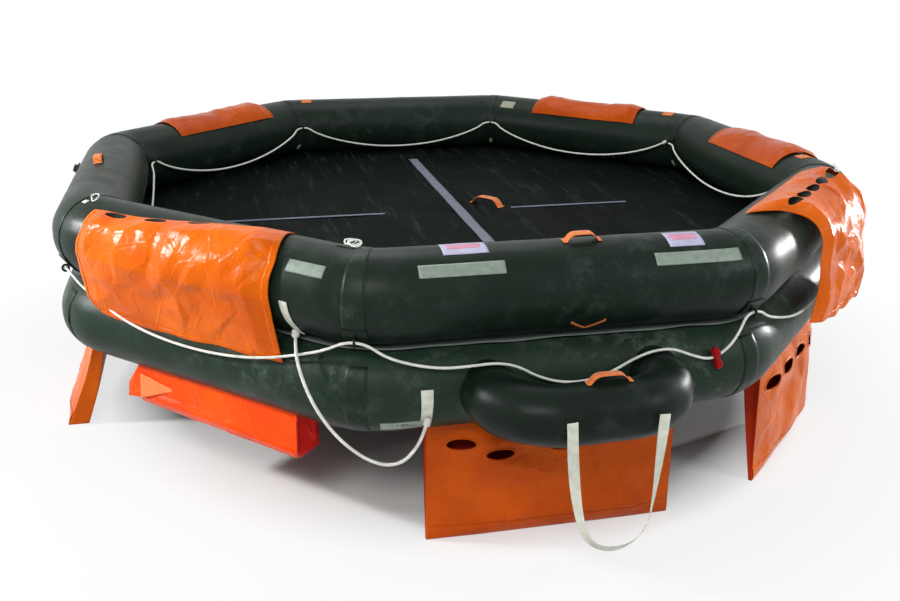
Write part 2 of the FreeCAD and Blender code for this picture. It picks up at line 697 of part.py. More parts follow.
def inner_side(reach, height):
    half = reach * math.sin(HALF_TURN)
    out = reach * math.cos(HALF_TURN)
    return lambda side: [side_point(side, out, share * half, height - drop)
                         for share, drop in INNER_SAG]


def outer_side(side):
    rows = FRONT_SAG if side == "front" else OUTER_SAG
    return [side_point(side, out, along, height) for along, out, height in rows]


def lifeline(label, eyes_label, inner, theta):
    reach, height = line_eyes(eyes_label, inner, theta)
    knot = add("Part::Prism", label + "_knot", Circumradius="1.9*[rope_radius]",
               Height="5*[rope_radius]")
    knot.Polygon = 10
    knot.Placement = Placement(
        corner_point(0, reach, height, KNOT_STEP - 2.5 * MM["rope_radius"]),
        Rotation(UP, 22.5) * ACROSS)
    doc.recompute()
    keep(knot, label + "_knot")
    cords.append(label + "_knot")
    sides = inner_side(reach, height) if inner else outer_side
    rope(label, round_route(reach, height, sides), MM["rope_radius"], [knot.Shape])


def tow_bridle():
    """A rope between a patch on the upper tube and one on the lower, knotted at both ends."""
    upper = tube_patch("tow_upper", "front_left", UPPER_Z, 540, 58, -4, 54)
    keep(upper, "tow_patch_upper")
    lower = tube_patch("tow_lower", "front", LOWER_Z, -566, 56, 14, 43)
    keep(lower, "tow_patch_lower")
    knots = []
    for k, (place, along, side, height) in enumerate((
            (BRIDLE[0], BRIDLE[1], "front_left", UPPER_Z),
            (BRIDLE[-1], BRIDLE[-2], "front", LOWER_Z))):
        run = (Vector(*along) - Vector(*place)).normalize()
        length = 5 * MM["bridle_radius"]
        ball = add("Part::Prism", "bridle_ball_%d" % k, Circumradius="2.2*[bridle_radius]")
        ball.Polygon = 10
        ball.Height = length
        ball.Placement = Placement(Vector(*place) - run * length * 0.6, Rotation(UP, run))
        knots.append(cut("bridle_knot_%d" % k, ball, side_cylinder(
            "bridle_knot_seat_%d" % k, side, height, "[tube_radius]+[patch_thickness]")))
    keep(group("bridle_knots", knots), "tow_bridle_knots")
    cords.append("tow_bridle_knots")
    doc.recompute()
    points = [Vector(*place) for place in BRIDLE]
    rope("tow_bridle", points, MM["bridle_radius"], [knot.Shape for knot in knots])


def boarding_step():
    """A loop of flat webbing that hangs from the front of the ramp, in one upright plane."""
    thickness, width = MM["webbing_thickness"], MM["webbing_width"]
    front = -(RAMP_OUT + MM["ramp_radius"])
    points = [Vector(x, front - thickness / 2, z) for x, z in STEP]
    route, radii = arc_route(points)
    down = (points[1] - points[0]).normalize()
    wide = down.cross(Vector(0, 1, 0)) * (width / 2)
    deep = Vector(0, thickness / 2, 0)
    corners = [points[0] + wide + deep, points[0] + wide - deep, points[0] - wide - deep,
               points[0] - wide + deep]
    section = Part.makePolygon(corners + corners[:1])
    strap = route.makePipeShell([section], True, False)
    expected = width * thickness * route.Length
    print("boarding_step: %.3f m, tightest arc %.0f mm, volume over section times length %.4f"
          % (route.Length / 1000, min(radii), strap.Volume / expected))
    keep(fixed("boarding_step", strap), "boarding_step")
    cords.append("boarding_step")


def webbing_and_fittings():
    tapes("upper_reflective_tapes", [
        ("front_left", UPPER_Z, 610, 164, 50, 16),
        ("front", UPPER_Z, -418, 342, 54, 17), ("front", UPPER_Z, 545, 346, 51, 17),
        ("back", UPPER_Z, -430, 340, 54, 17), ("back", UPPER_Z, 430, 340, 54, 17)])
    tapes("lower_reflective_tapes", [
        ("front", LOWER_Z, -636, 164, -30, 17), ("front_right", LOWER_Z, -600, 164, -26, 17),
        ("back", LOWER_Z, 0, 340, -20, 17)])
    tapes("blank_panels", [("front", UPPER_Z, -388, 182, 101, 33),
                           ("front", UPPER_Z, 527, 152, 92, 33)])
    keep(corner_patch("lacing_patch", 5, UPPER_Z, 84, 112, 22, "[patch_thickness]"),
         "lacing_patch")
    grab_handle("front_tube_handle", "front", UPPER_Z, 98, 120, 86)
    grab_handle("left_tube_handle", "left", UPPER_Z, 12, 120, 84)
    grab_handle("ramp_handle", "front", RAMP_Z, 80, 150, 90, "ramp_radius", RAMP_OUT)
    v_strap()
    strap = floor_piece("floor_strap_long", 61, -1600, 3040, 62, 2.0, 90)
    keep(strap, "floor_long_strap")
    keep(group("cross_straps_group", [
        floor_piece("cross_strap_right", 375, 0, 725, 24, 2.0, 0),
        floor_piece("cross_strap_left", -1390, 0, 1400, 24, 2.0, 0)]), "floor_cross_straps")


def floor_handle():
    """A wide grab handle sewn on the floor beside the long strap."""
    strap = fixed("floor_handle", handle_face(184, 52, 46, 52))
    strap.Placement = Placement(Vector(256, 109, MM["contact_height"] + FLOOR_HALF),
                                Rotation(UP, -140))
    keep(strap, "floor_handle")


def main():
    buoyancy_tube("lower_buoyancy_tube", LOWER_Z, 1)
    buoyancy_tube("upper_buoyancy_tube", UPPER_Z, -1)
    floor_sheet()
    boarding_ramp()
    for side, middle, width, out in (("front", 15, 1120, 1930), ("front_right", 0, 980, 2000),
                                     ("right", 0, 980, 1990), ("back_right", 0, 980, 1990),
                                     ("back", 0, 980, 1990), ("back_left", 0, 980, 1990),
                                     ("left", 0, 980, 1990)):
        lower_pocket(side, middle, width, out)
    folded_pocket("front_left", -15, 1010, 150, 340)
    for side, middle, width, top, hang in (("front_left", -130, 1010, 104, 240),
                                           ("front_right", 90, 920, 120, 225),
                                           ("right", -140, 790, 144, 225),
                                           ("back_right", -10, 790, 144, 225),
                                           ("back_left", -40, 860, 140, 225)):
        draped_pocket(side, middle, width, top, hang)
    webbing_and_fittings()
    floor_handle()
    lifeline("outer_lifeline", "outer_line_eyes", False, -40)
    lifeline("inner_lifeline", "inner_line_eyes", True, 174)
    tow_bridle()
    boarding_step()
    gas_cylinder()
    valves()
    doc.recompute()
    check()
    write(centred())


def check():
    """Every object computed without an error, and every piece is a valid solid."""
    for obj in doc.Objects:
        if "Invalid" in obj.State or "Error" in obj.State:
            raise RuntimeError("%s failed: %s" % (obj.Name, obj.State))
    for label, obj in sub_parts.items():
        shape = obj.Shape
        if shape.isNull() or not shape.isValid() or not shape.Solids or shape.Volume <= 0:
            raise RuntimeError("%s is not a valid solid" % label)


def centred():
    """The move that puts the origin at the bottom centre of the box without the ropes."""
    box = FreeCAD.BoundBox()
    for label, obj in sub_parts.items():
        if label not in cords:
            box.add(obj.Shape.optimalBoundingBox(False, False))
    print("box %s" % box)
    return Vector(-box.Center.x, -box.Center.y, -box.ZMin)


def write(move):
    """Move every piece and write one file each."""
    print("raft axis at %.2f, %.2f; moved up %.2f" % (move.x, move.y, move.z))
    for obj in sub_parts.values():
        obj.Placement = Placement(obj.Placement.Base + move, obj.Placement.Rotation)
    doc.recompute()
    os.makedirs(OUT, exist_ok=True)
    for label, obj in sub_parts.items():
        obj.Shape.exportStep("%s/%s.step" % (OUT, label))
        box = obj.Shape.BoundBox
        print("%-26s %d solid %10.1f cm3  x %.0f..%.0f y %.0f..%.0f z %.0f..%.0f"
              % (label, len(obj.Shape.Solids), obj.Shape.Volume / 1000, box.XMin, box.XMax,
                 box.YMin, box.YMax, box.ZMin, box.ZMax))


main()
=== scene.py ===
"""Looks of the inflated open reversible liferaft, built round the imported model.

Metres, +Z up, the boarding ramp towards -Y.  The raft's axis, width and heights come from the
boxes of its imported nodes; the pieces are placed along its eight sides and round its two tubes.
"""
import json
import random
from math import cos, exp, floor, hypot, pi, radians, sin, sqrt, tan

import bpy
from mathutils import Matrix, Vector, noise
from mathutils.bvhtree import BVHTree
from mathutils.geometry import delaunay_2d_cdt
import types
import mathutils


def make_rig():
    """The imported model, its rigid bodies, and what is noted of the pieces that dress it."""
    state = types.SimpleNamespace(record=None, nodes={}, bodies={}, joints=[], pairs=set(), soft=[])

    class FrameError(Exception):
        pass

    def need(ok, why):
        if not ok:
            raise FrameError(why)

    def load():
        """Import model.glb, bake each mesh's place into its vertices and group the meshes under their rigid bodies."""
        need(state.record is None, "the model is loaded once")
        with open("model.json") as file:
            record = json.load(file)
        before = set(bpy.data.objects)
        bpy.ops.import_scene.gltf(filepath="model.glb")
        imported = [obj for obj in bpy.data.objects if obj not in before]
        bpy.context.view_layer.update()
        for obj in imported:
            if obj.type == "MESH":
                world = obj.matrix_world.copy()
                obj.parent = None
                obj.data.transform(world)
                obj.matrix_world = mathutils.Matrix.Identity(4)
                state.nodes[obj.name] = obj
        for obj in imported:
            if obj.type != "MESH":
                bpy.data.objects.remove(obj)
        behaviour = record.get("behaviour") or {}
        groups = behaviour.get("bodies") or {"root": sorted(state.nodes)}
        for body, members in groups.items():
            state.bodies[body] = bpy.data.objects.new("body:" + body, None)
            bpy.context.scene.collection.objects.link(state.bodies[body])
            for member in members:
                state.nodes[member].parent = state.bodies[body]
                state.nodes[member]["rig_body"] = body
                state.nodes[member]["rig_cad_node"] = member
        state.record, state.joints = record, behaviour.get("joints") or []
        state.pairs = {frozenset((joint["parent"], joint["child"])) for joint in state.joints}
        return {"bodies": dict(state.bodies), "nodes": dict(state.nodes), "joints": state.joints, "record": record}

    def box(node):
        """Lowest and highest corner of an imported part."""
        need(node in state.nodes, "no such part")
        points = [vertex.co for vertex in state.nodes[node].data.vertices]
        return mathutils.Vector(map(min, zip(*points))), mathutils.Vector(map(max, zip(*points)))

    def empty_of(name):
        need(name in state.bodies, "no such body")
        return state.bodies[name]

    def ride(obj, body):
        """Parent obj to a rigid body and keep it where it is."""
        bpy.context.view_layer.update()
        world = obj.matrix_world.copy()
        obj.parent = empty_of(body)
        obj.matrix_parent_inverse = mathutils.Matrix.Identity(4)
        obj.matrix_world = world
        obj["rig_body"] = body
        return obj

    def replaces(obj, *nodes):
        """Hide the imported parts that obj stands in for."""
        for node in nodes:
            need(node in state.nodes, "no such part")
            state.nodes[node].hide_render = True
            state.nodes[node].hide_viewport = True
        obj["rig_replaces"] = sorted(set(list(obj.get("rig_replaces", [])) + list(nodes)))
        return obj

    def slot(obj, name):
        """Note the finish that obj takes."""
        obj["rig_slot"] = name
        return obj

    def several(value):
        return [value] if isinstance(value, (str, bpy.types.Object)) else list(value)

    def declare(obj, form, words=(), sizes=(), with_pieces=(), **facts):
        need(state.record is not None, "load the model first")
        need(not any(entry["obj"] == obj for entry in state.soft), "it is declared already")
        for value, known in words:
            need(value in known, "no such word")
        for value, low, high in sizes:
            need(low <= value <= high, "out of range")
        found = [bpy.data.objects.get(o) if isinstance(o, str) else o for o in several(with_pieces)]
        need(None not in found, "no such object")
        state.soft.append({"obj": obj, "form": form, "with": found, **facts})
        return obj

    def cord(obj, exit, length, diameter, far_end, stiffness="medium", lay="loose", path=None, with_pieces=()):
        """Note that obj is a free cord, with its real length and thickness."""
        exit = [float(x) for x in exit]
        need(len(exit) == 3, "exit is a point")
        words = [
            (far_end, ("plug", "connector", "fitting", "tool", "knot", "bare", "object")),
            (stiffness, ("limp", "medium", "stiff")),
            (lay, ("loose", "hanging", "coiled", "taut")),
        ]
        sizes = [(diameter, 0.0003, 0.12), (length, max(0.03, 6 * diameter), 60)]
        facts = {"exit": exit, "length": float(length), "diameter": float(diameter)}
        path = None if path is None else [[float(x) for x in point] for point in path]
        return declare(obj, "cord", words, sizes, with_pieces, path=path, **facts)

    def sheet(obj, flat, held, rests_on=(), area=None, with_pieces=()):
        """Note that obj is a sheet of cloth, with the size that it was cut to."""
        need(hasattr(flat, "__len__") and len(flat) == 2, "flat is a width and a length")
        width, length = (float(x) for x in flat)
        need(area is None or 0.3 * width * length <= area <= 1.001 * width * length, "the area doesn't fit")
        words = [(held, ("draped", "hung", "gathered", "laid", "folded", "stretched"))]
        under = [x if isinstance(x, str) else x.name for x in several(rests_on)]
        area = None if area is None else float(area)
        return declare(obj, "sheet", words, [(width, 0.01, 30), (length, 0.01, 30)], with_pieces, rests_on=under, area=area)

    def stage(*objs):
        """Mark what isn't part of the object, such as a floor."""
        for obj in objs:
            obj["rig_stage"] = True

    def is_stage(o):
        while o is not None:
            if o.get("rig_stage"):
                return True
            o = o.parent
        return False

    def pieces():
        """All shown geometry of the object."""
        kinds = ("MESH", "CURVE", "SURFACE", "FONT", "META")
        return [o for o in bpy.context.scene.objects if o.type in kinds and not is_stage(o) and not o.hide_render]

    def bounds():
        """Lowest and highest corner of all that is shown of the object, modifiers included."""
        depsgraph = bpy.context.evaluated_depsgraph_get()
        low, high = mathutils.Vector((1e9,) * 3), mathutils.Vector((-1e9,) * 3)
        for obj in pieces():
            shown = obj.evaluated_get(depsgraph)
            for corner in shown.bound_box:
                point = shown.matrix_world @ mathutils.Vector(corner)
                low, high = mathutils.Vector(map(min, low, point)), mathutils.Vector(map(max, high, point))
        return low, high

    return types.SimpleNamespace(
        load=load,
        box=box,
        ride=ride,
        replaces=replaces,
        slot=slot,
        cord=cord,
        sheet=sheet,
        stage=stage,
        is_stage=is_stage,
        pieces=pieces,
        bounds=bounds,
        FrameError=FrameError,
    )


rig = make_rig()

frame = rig.load()
cad_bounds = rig.bounds()

# ---------------------------------------------------------------- sizes shared by the pieces

BODY = "root"
LOW_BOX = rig.box("lower_buoyancy_tube")
HIGH_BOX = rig.box("upper_buoyancy_tube")
FLOOR_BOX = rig.box("floor")
AXIS = Vector(((LOW_BOX[0][0] + LOW_BOX[1][0]) / 2, (LOW_BOX[0][1] + LOW_BOX[1][1]) / 2, 0))
CONTACT = (FLOOR_BOX[0][2] + FLOOR_BOX[1][2]) / 2
FLOOR_HALF = 0.003
TUBE_R = 0.190
FLAT_RADIUS = (HIGH_BOX[1][0] - HIGH_BOX[0][0]) / 2 - TUBE_R
CORNER_R = 0.300
UPPER_Z = HIGH_BOX[1][2] - TUBE_R
LOWER_Z = LOW_BOX[0][2] + TUBE_R
EIGHTH = pi / 4
BEND = CORNER_R * EIGHTH
STRAIGHT = 2 * (FLAT_RADIUS - CORNER_R) * tan(EIGHTH / 2)
PERIOD = STRAIGHT + BEND
ROUND = ["right", "back_right", "back", "back_left", "left", "front_left", "front",
         "front_right"]
SIDE = {name: k for k, name in enumerate(ROUND)}
UP = Vector((0, 0, 1))
CLOTH = 0.0016  # thickness of a draped cloth
PLY = 0.0014  # thickness of one ply of a lower pocket


def spin(side):
    """The turn from the right side, which faces +X, to another side."""
    return Matrix.Rotation(SIDE[side] * EIGHTH, 3, "Z")


def loop(s):
    """Centre line of a tube at distance s round the raft: a point at height 0 and outward."""
    k = floor((s + STRAIGHT / 2) / PERIOD)
    a = s - k * PERIOD
    if a <= STRAIGHT / 2:
        local, angle = Vector((FLAT_RADIUS, a, 0)), 0.0
    else:
        angle = (a - STRAIGHT / 2) / CORNER_R
        local = Vector((FLAT_RADIUS - CORNER_R + CORNER_R * cos(angle),
                        STRAIGHT / 2 + CORNER_R * sin(angle), 0))
    turn = Matrix.Rotation(k * EIGHTH, 3, "Z")
    return AXIS + turn @ local, turn @ Vector((cos(angle), sin(angle), 0))


def wrinkle(s, theta, upper):
    """Small bulges and puckers of an inflated tube, in metres, never outward by much."""
    depth, reach, sunk = 0.007, 0.16, 0.0015
    a = (s + STRAIGHT / 2) % PERIOD - STRAIGHT / 2
    corner = max(0.0, 1 - abs(a - (PERIOD - STRAIGHT / 2 - BEND / 2)) / reach)
    inner = max(0.0, -cos(theta))
    seed = 3.1 if upper else 8.7
    pucker = -depth * corner * inner * (0.5 + 0.5 * sin(s * 150 + 2 * sin(theta * 3)))
    soft = 0.0016 * noise.noise(Vector((s * 2.2, theta * 1.3, seed)))
    ripple = 0.0012 * noise.noise(Vector((s * 9, theta * 5, seed)))
    return pucker + soft + ripple - sunk


def tube_point(s, theta, lift=0.0, upper=True):
    """A point on the skin of a buoyancy tube; theta is measured up from outward."""
    centre, out = loop(s)
    r = TUBE_R + lift + wrinkle(s, theta, upper)
    z = (UPPER_Z if upper else LOWER_Z) + r * sin(theta)
    rest = CONTACT + (FLOOR_HALF if upper else -FLOOR_HALF)
    z = max(z, rest) if upper else min(z, rest)
    return centre + out * (r * cos(theta)) + Vector((0, 0, z))


def side_s(side, along):
    """Distance round the raft of a place along one side from its middle."""
    return SIDE[side] * PERIOD + along


def side_point(side, out, along, height):
    """Out from the raft's axis, along a side and up, as in the source of the solids."""
    return AXIS + spin(side) @ Vector((out, along, height))


def corner_point(index, reach, height, sideways=0.0):
    angle = (index + 0.5) * EIGHTH
    return AXIS + Vector((reach * cos(angle) - sideways * sin(angle),
                          reach * sin(angle) + sideways * cos(angle), height))


def waves(*place):
    """Smooth noise about zero at a place."""
    return noise.noise(Vector(place))


# ---------------------------------------------------------------- camera

def camera():
    """Standing in front of the raft, left of its middle, looking down over the near tube."""
    data = bpy.data.cameras.new("camera")
    data.lens = 40.4
    data.sensor_width = 36.0
    eye = bpy.data.objects.new("camera", data)
    bpy.context.scene.collection.objects.link(eye)
    yaw, pitch, roll = 0.2299, 0.3480, 0.0099
    forward = Vector((sin(yaw) * cos(pitch), cos(yaw) * cos(pitch),
                      -sin(pitch)))
    right = Vector((cos(yaw), -sin(yaw), 0))
    up = right.cross(forward)
    turn = Matrix((right * cos(roll) + up * sin(roll),
                   up * cos(roll) - right * sin(roll), -forward)).transposed()
    spot = AXIS + Vector((-1.298, -5.581, CONTACT + 1.526))
    eye.matrix_world = Matrix.Translation(spot) @ turn.to_4x4()
    bpy.context.scene.camera = eye


# ---------------------------------------------------------------- materials

class Nodes:
    """A node tree and short ways to add to it.  A value may be another node's output."""

    def __init__(self, tree):
        self.tree = tree

    def plug(self, value, socket):
        if isinstance(value, bpy.types.NodeSocket):
            self.tree.links.new(value, socket)
        else:
            socket.default_value = (*value, 1.0) if socket.type == "RGBA" else value

    def add(self, kind, **values):
        """A new node; values that are named like its inputs go there, others are settings."""
        made = self.tree.nodes.new("ShaderNode" + kind)
        for key, value in values.items():
            if key in made.inputs:
                self.plug(value, made.inputs[key])
            else:
                setattr(made, key, value)
        return made

    def feed(self, made, values, slots=(0, 1, 2)):
        """Values into a node's inputs by their numbers."""
        for value, slot in zip(values, slots):
            self.plug(value, made.inputs[slot])
        return made

    def calc(self, operation, *values):
        return self.feed(self.add("Math", operation=operation), values).outputs[0]

    def times(self, first, second):
        return self.calc("MULTIPLY", first, second)

    def mix(self, factor, first, second, output):
        """Two shaders by a factor, into the tree's output."""
        made = self.feed(self.add("MixShader"), (factor, first.outputs[0], second.outputs[0]))
        self.plug(made.outputs[0], output.inputs["Surface"])

    def shown_white(self):
        """1 for the rays that see the white background: from the camera, in gloss and glass."""
        rays = self.add("LightPath").outputs
        total = rays["Is Camera Ray"]
        for name in ("Is Glossy Ray", "Is Transmission Ray"):
            total = self.calc("MAXIMUM", total, rays[name])
        return total


class Finish(Nodes):
    """A material whose textures follow the place on the piece."""

    def __init__(self, name):
        self.mat = bpy.data.materials.new(name)
        self.mat.use_nodes = True
        super().__init__(self.mat.node_tree)
        self.shader = self.tree.nodes["Principled BSDF"]
        self.at = self.add("TexCoord").outputs["Object"]

    def noise(self, scale, detail=4.0, rough=0.55, at=None):
        return self.add("TexNoise", Vector=self.at if at is None else at, Scale=scale,
                        Detail=detail, Roughness=rough).outputs["Fac"]

    def ramp(self, value, *stops):
        made = self.add("ValToRGB", Fac=value)
        elements = made.color_ramp.elements
        while len(elements) < len(stops):
            elements.new(0.5)
        for element, (position, color) in zip(elements, stops):
            element.position = position
            element.color = (*color, 1.0)
        return made.outputs["Color"]

    def fade(self, value, black, white):
        """From black to white between two values."""
        return self.ramp(value, (black, (0, 0, 0)), (white, (1, 1, 1)))

    def span(self, value, low, high, first=0.0, last=1.0):
        """Values from first to last spread between low and high."""
        return self.add("MapRange", Value=value, **{
            "From Min": first, "From Max": last, "To Min": low, "To Max": high}).outputs["Result"]

    def blend(self, factor, first, second):
        made = self.feed(self.add("Mix", data_type="RGBA"), (factor, first, second), (0, 6, 7))
        return made.outputs[2]

    def weave(self, scale):
        """Two crossed sets of threads."""
        return self.calc("MAXIMUM", *(
            self.add("TexWave", Vector=self.at, Scale=scale, bands_direction=way).outputs["Fac"]
            for way in "XY"))

    def bump(self, value, strength, distance):
        """Relief on top of what the shader has already."""
        normal = self.shader.inputs["Normal"]
        made = self.add("Bump", Height=value, Strength=strength, Distance=distance)
        if normal.links:
            self.plug(normal.links[0].from_socket, made.inputs["Normal"])
        self.plug(made.outputs["Normal"], normal)

    def surface(self, color, roughness, specular=0.5, sheen=0.0, metallic=0.0):
        for name, value in (("Base Color", color), ("Roughness", roughness),
                            ("Specular IOR Level", specular), ("Sheen Weight", sheen),
                            ("Metallic", metallic)):
            self.plug(value, self.shader.inputs[name])


def rubber_material(name, dusty, tone=1.0):
    """Coated rubber cloth: satin green-black with dusty scuffs and a fine cloth grain."""
    own = Finish(name)
    color = own.ramp(own.noise(2.3, 5.0, 0.6), *(
        (spot, tuple(tone * c for c in shade)) for spot, shade in
        ((0.30, (0.0050, 0.0115, 0.0070)), (0.60, (0.0085, 0.0165, 0.0110)),
         (0.80, (0.017, 0.027, 0.021)))))
    scuffs = own.times(own.fade(own.noise(9.0, 9.0, 0.75), 0.50, 0.70),
                      own.fade(own.noise(1.4, 3.0), 0.44, 0.60))
    color = own.blend(own.times(scuffs, dusty), color, (0.085, 0.110, 0.095))
    own.surface(color, own.span(own.noise(6.0, 6.0, 0.65), 0.26, 0.52), 0.11)
    own.bump(own.noise(6.0, 6.0, 0.6), 0.30, 0.010)
    own.bump(own.noise(260.0, 2.0), 0.10, 0.0008)
    return own.mat


def floor_material():
    """Rubber-coated floor cloth, near black, with faint long scuffs along the raft."""
    own = Finish("floor_cloth")
    color = own.ramp(own.noise(1.8, 6.0, 0.62), (0.30, (0.0014, 0.0028, 0.0023)),
                     (0.75, (0.0040, 0.0068, 0.0058)))
    stretch = own.add("Mapping", Scale=(14.0, 1.2, 1.0), Vector=own.at).outputs["Vector"]
    lines = own.fade(own.noise(1.6, 8.0, 0.7, stretch), 0.55, 0.70)
    color = own.blend(own.times(lines, 0.42), color, (0.045, 0.055, 0.05))
    own.surface(color, own.span(own.noise(4.0), 0.45, 0.70), 0.015)
    own.bump(own.noise(5.0, 6.0), 0.3, 0.012)
    own.bump(own.noise(300.0, 2.0), 0.10, 0.0008)
    return own.mat


def cloth_material(name, low, high, roughness=0.24, gloss=0.10):
    """Glossy coated cloth: soft colour change, fine creases and a faint weave."""
    own = Finish(name)
    color = own.ramp(own.noise(3.5, 4.0), (0.32, low), (0.70, high))
    worn = own.fade(own.noise(22.0, 8.0, 0.7), 0.58, 0.80)
    color = own.blend(own.times(worn, 0.25), color, tuple(0.55 * c for c in low))
    own.surface(color, own.span(own.noise(9.0), roughness - 0.06, roughness + 0.14), gloss)
    own.bump(own.noise(16.0, 5.0, 0.6), 0.30, 0.004)
    for scale, height in ((6.0, 0.006), (15.0, 0.0025)):
        sway = own.add("TexNoise", Vector=own.at, Scale=scale * 0.5, Detail=3.0)
        soft = own.add("VectorMath", operation="SCALE", Scale=0.03, Vector=sway.outputs["Color"])
        bent = own.feed(own.add("VectorMath", operation="ADD"), (own.at, soft.outputs[0]))
        cells = own.add("TexVoronoi", feature="DISTANCE_TO_EDGE", Scale=scale, Randomness=1.0,
                        Vector=bent.outputs[0])
        own.bump(own.ramp(cells.outputs["Distance"], (0.0, (1, 1, 1)), (0.05, (0, 0, 0))), 0.24,
                 height)
    own.bump(own.weave(300.0), 0.06, 0.0004)
    return own.mat


def webbing_material(name, low, high, scale=220.0):
    own = Finish(name)
    own.surface(own.ramp(own.noise(30.0, 5.0), (0.3, low), (0.7, high)), 0.75, sheen=0.2)
    own.bump(own.weave(scale), 0.5, 0.0012)
    return own.mat


def tape_material():
    own = Finish("reflective_tape")
    own.surface(own.ramp(own.noise(40.0, 4.0), (0.3, (0.17, 0.215, 0.175)),
                         (0.7, (0.24, 0.295, 0.245))), 0.38)
    beads = own.add("TexVoronoi", Scale=190.0, Vector=own.at)
    own.bump(beads.outputs["Distance"], 0.25, 0.0006)
    return own.mat


def plain_material(name, color, roughness, metallic=0.0):
    """A smooth finish with a little colour change, patchy gloss and a fine grain."""
    own = Finish(name)
    tint = own.ramp(own.noise(18.0, 5.0), (0.3, tuple(0.78 * c for c in color)), (0.7, color))
    own.surface(tint, own.span(own.noise(25.0), roughness - 0.08, roughness + 0.1),
                0.5 if metallic else 0.2, metallic=metallic)
    own.bump(own.noise(60.0, 4.0), 0.3, 0.0006)
    return own.mat


# ---------------------------------------------------------------- mesh helpers

def mesh_piece(name, vertices, faces, mat, slot, smooth=True, node_names=(), creased=0):
    """A visible piece that rides the body; creased is the angle from which an edge is sharp."""
    mesh = bpy.data.meshes.new(name)
    mesh.from_pydata([tuple(v) for v in vertices], [], faces)
    mesh.validate()
    mesh.materials.append(mat)
    if smooth:
        mesh.polygons.foreach_set("use_smooth", [True] * len(mesh.polygons))
        if creased:
            mesh.set_sharp_from_angle(angle=radians(creased))
    piece = bpy.data.objects.new(name, mesh)
    bpy.context.scene.collection.objects.link(piece)
    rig.ride(piece, BODY)
    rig.slot(piece, slot)
    if node_names:
        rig.replaces(piece, *node_names)
    return piece


def grid(nu, nv, point, wrap_u=False, wrap_v=False):
    """Vertices and quads of a grid; point(u, v) takes shares from 0 to 1."""
    cu = nu if wrap_u else nu + 1
    cv = nv if wrap_v else nv + 1
    vertices = [point(i / nu, j / nv) for i in range(cu) for j in range(cv)]
    faces = []
    for i in range(nu):
        for j in range(nv):
            a, b = i, (i + 1) % cu
            c, d = j, (j + 1) % cv
            faces.append((a * cv + c, b * cv + c, b * cv + d, a * cv + d))
    return vertices, faces


def wall(rings, around):
    """Quads between rings of vertices."""
    return [(k * around + n, k * around + m, (k + 1) * around + m, (k + 1) * around + n)
            for k in range(rings - 1) for n, m in zip(range(around), [*range(1, around), 0])]


def ends(rings, around):
    """The two faces that close the first and the last ring."""
    return [tuple(reversed(range(around))), tuple(range((rings - 1) * around, rings * around))]


def oval_grid(nu, nv, ovals):
    """Shares and faces of a grid with ovals cut out; its points move on to their outlines.

    An oval is its middle and half sizes, in shares of the cloth.
    """
    rows = nv + 1
    shares = [[i / nu, j / nv] for i in range(nu + 1) for j in range(rows)]

    def depth(share, oval):
        return hypot((share[0] - oval[0]) / oval[2], (share[1] - oval[1]) / oval[3])

    inside = [False] * len(shares)
    for oval in ovals:
        size = [depth(share, oval) for share in shares]
        moved = set()
        for here in range(len(shares)):
            for there in ([here + rows] if here < nu * rows else []) + (
                    [here + 1] if here % rows < nv else []):
                if (size[here] - 1) * (size[there] - 1) < 0:
                    moved.add(here if abs(size[here] - 1) < abs(size[there] - 1) else there)
        for k, value in enumerate(size):
            if k in moved:
                shares[k] = [oval[n] + (shares[k][n] - oval[n]) / value for n in (0, 1)]
            elif value < 1:
                inside[k] = True
    faces = []
    for a in (i * rows + j for i in range(nu) for j in range(nv)):
        corners = [k for k in (a, a + rows, a + rows + 1, a + 1) if not inside[k]]
        middle = [sum(shares[k][n] for k in corners) / max(len(corners), 1) for n in (0, 1)]
        if len(corners) > 2 and all(depth(middle, oval) > 1 for oval in ovals):
            faces.append(tuple(corners))
    return shares, faces


def shell(name, nu, nv, point, thickness, mat, slot, node_names=(), ovals=(), creased=0):
    """A thin closed skin: point(u, v, lift) gives its place at a lift above what it lies on."""
    shares, faces = oval_grid(nu, nv, ovals)
    points = [point(u, v, lift) for lift in (thickness, 0.0) for u, v in shares]
    count = len(shares)
    edges = {(a, b): True for face in faces for a, b in zip(face, face[1:] + face[:1])}
    walls = [(b, a, count + a, count + b) for a, b in edges if (b, a) not in edges]
    faces = faces + [tuple(count + k for k in reversed(face)) for face in faces] + walls
    used = sorted({k for face in faces for k in face})
    index = {k: n for n, k in enumerate(used)}
    return mesh_piece(name, [points[k] for k in used],
                      [tuple(index[k] for k in face) for face in faces], mat, slot,
                      node_names=node_names, creased=creased)


# ---------------------------------------------------------------- ropes

def cord_line(name, points):
    """The smooth line of a cord, through the runs of its route."""
    curve = bpy.data.curves.new(name + "_line", "CURVE")
    curve.dimensions = "3D"
    curve.resolution_u = 12
    spline = curve.splines.new("NURBS")
    spline.points.add(len(points) - 1)
    for target, point in zip(spline.points, points):
        target.co = (*point, 1.0)
    spline.order_u = 3
    spline.use_endpoint_u = True
    holder = bpy.data.objects.new(name + "_line", curve)
    mesh = bpy.data.meshes.new_from_object(holder)
    line = [v.co.copy() for v in mesh.vertices]
    bpy.data.meshes.remove(mesh)
    bpy.data.objects.remove(holder)
    bpy.data.curves.remove(curve)
    return line


def distances(line):
    """How far along a line each of its points lies."""
    gone = [0.0]
    for a, b in zip(line, line[1:]):
        gone.append(gone[-1] + (b - a).length)
    return gone


def resample(line, step):
    """Points a step apart along a line."""
    gone = distances(line)
    count = max(2, round(gone[-1] / step))
    out, k = [line[0]], 0
    for n in range(1, count):
        want = gone[-1] * n / count
        while k < len(line) - 2 and gone[k + 1] < want:
            k += 1
        piece = line[k + 1] - line[k]
        out.append(line[k] + piece * ((want - gone[k]) / max(piece.length, 1e-9)))
    return out + [line[-1]]


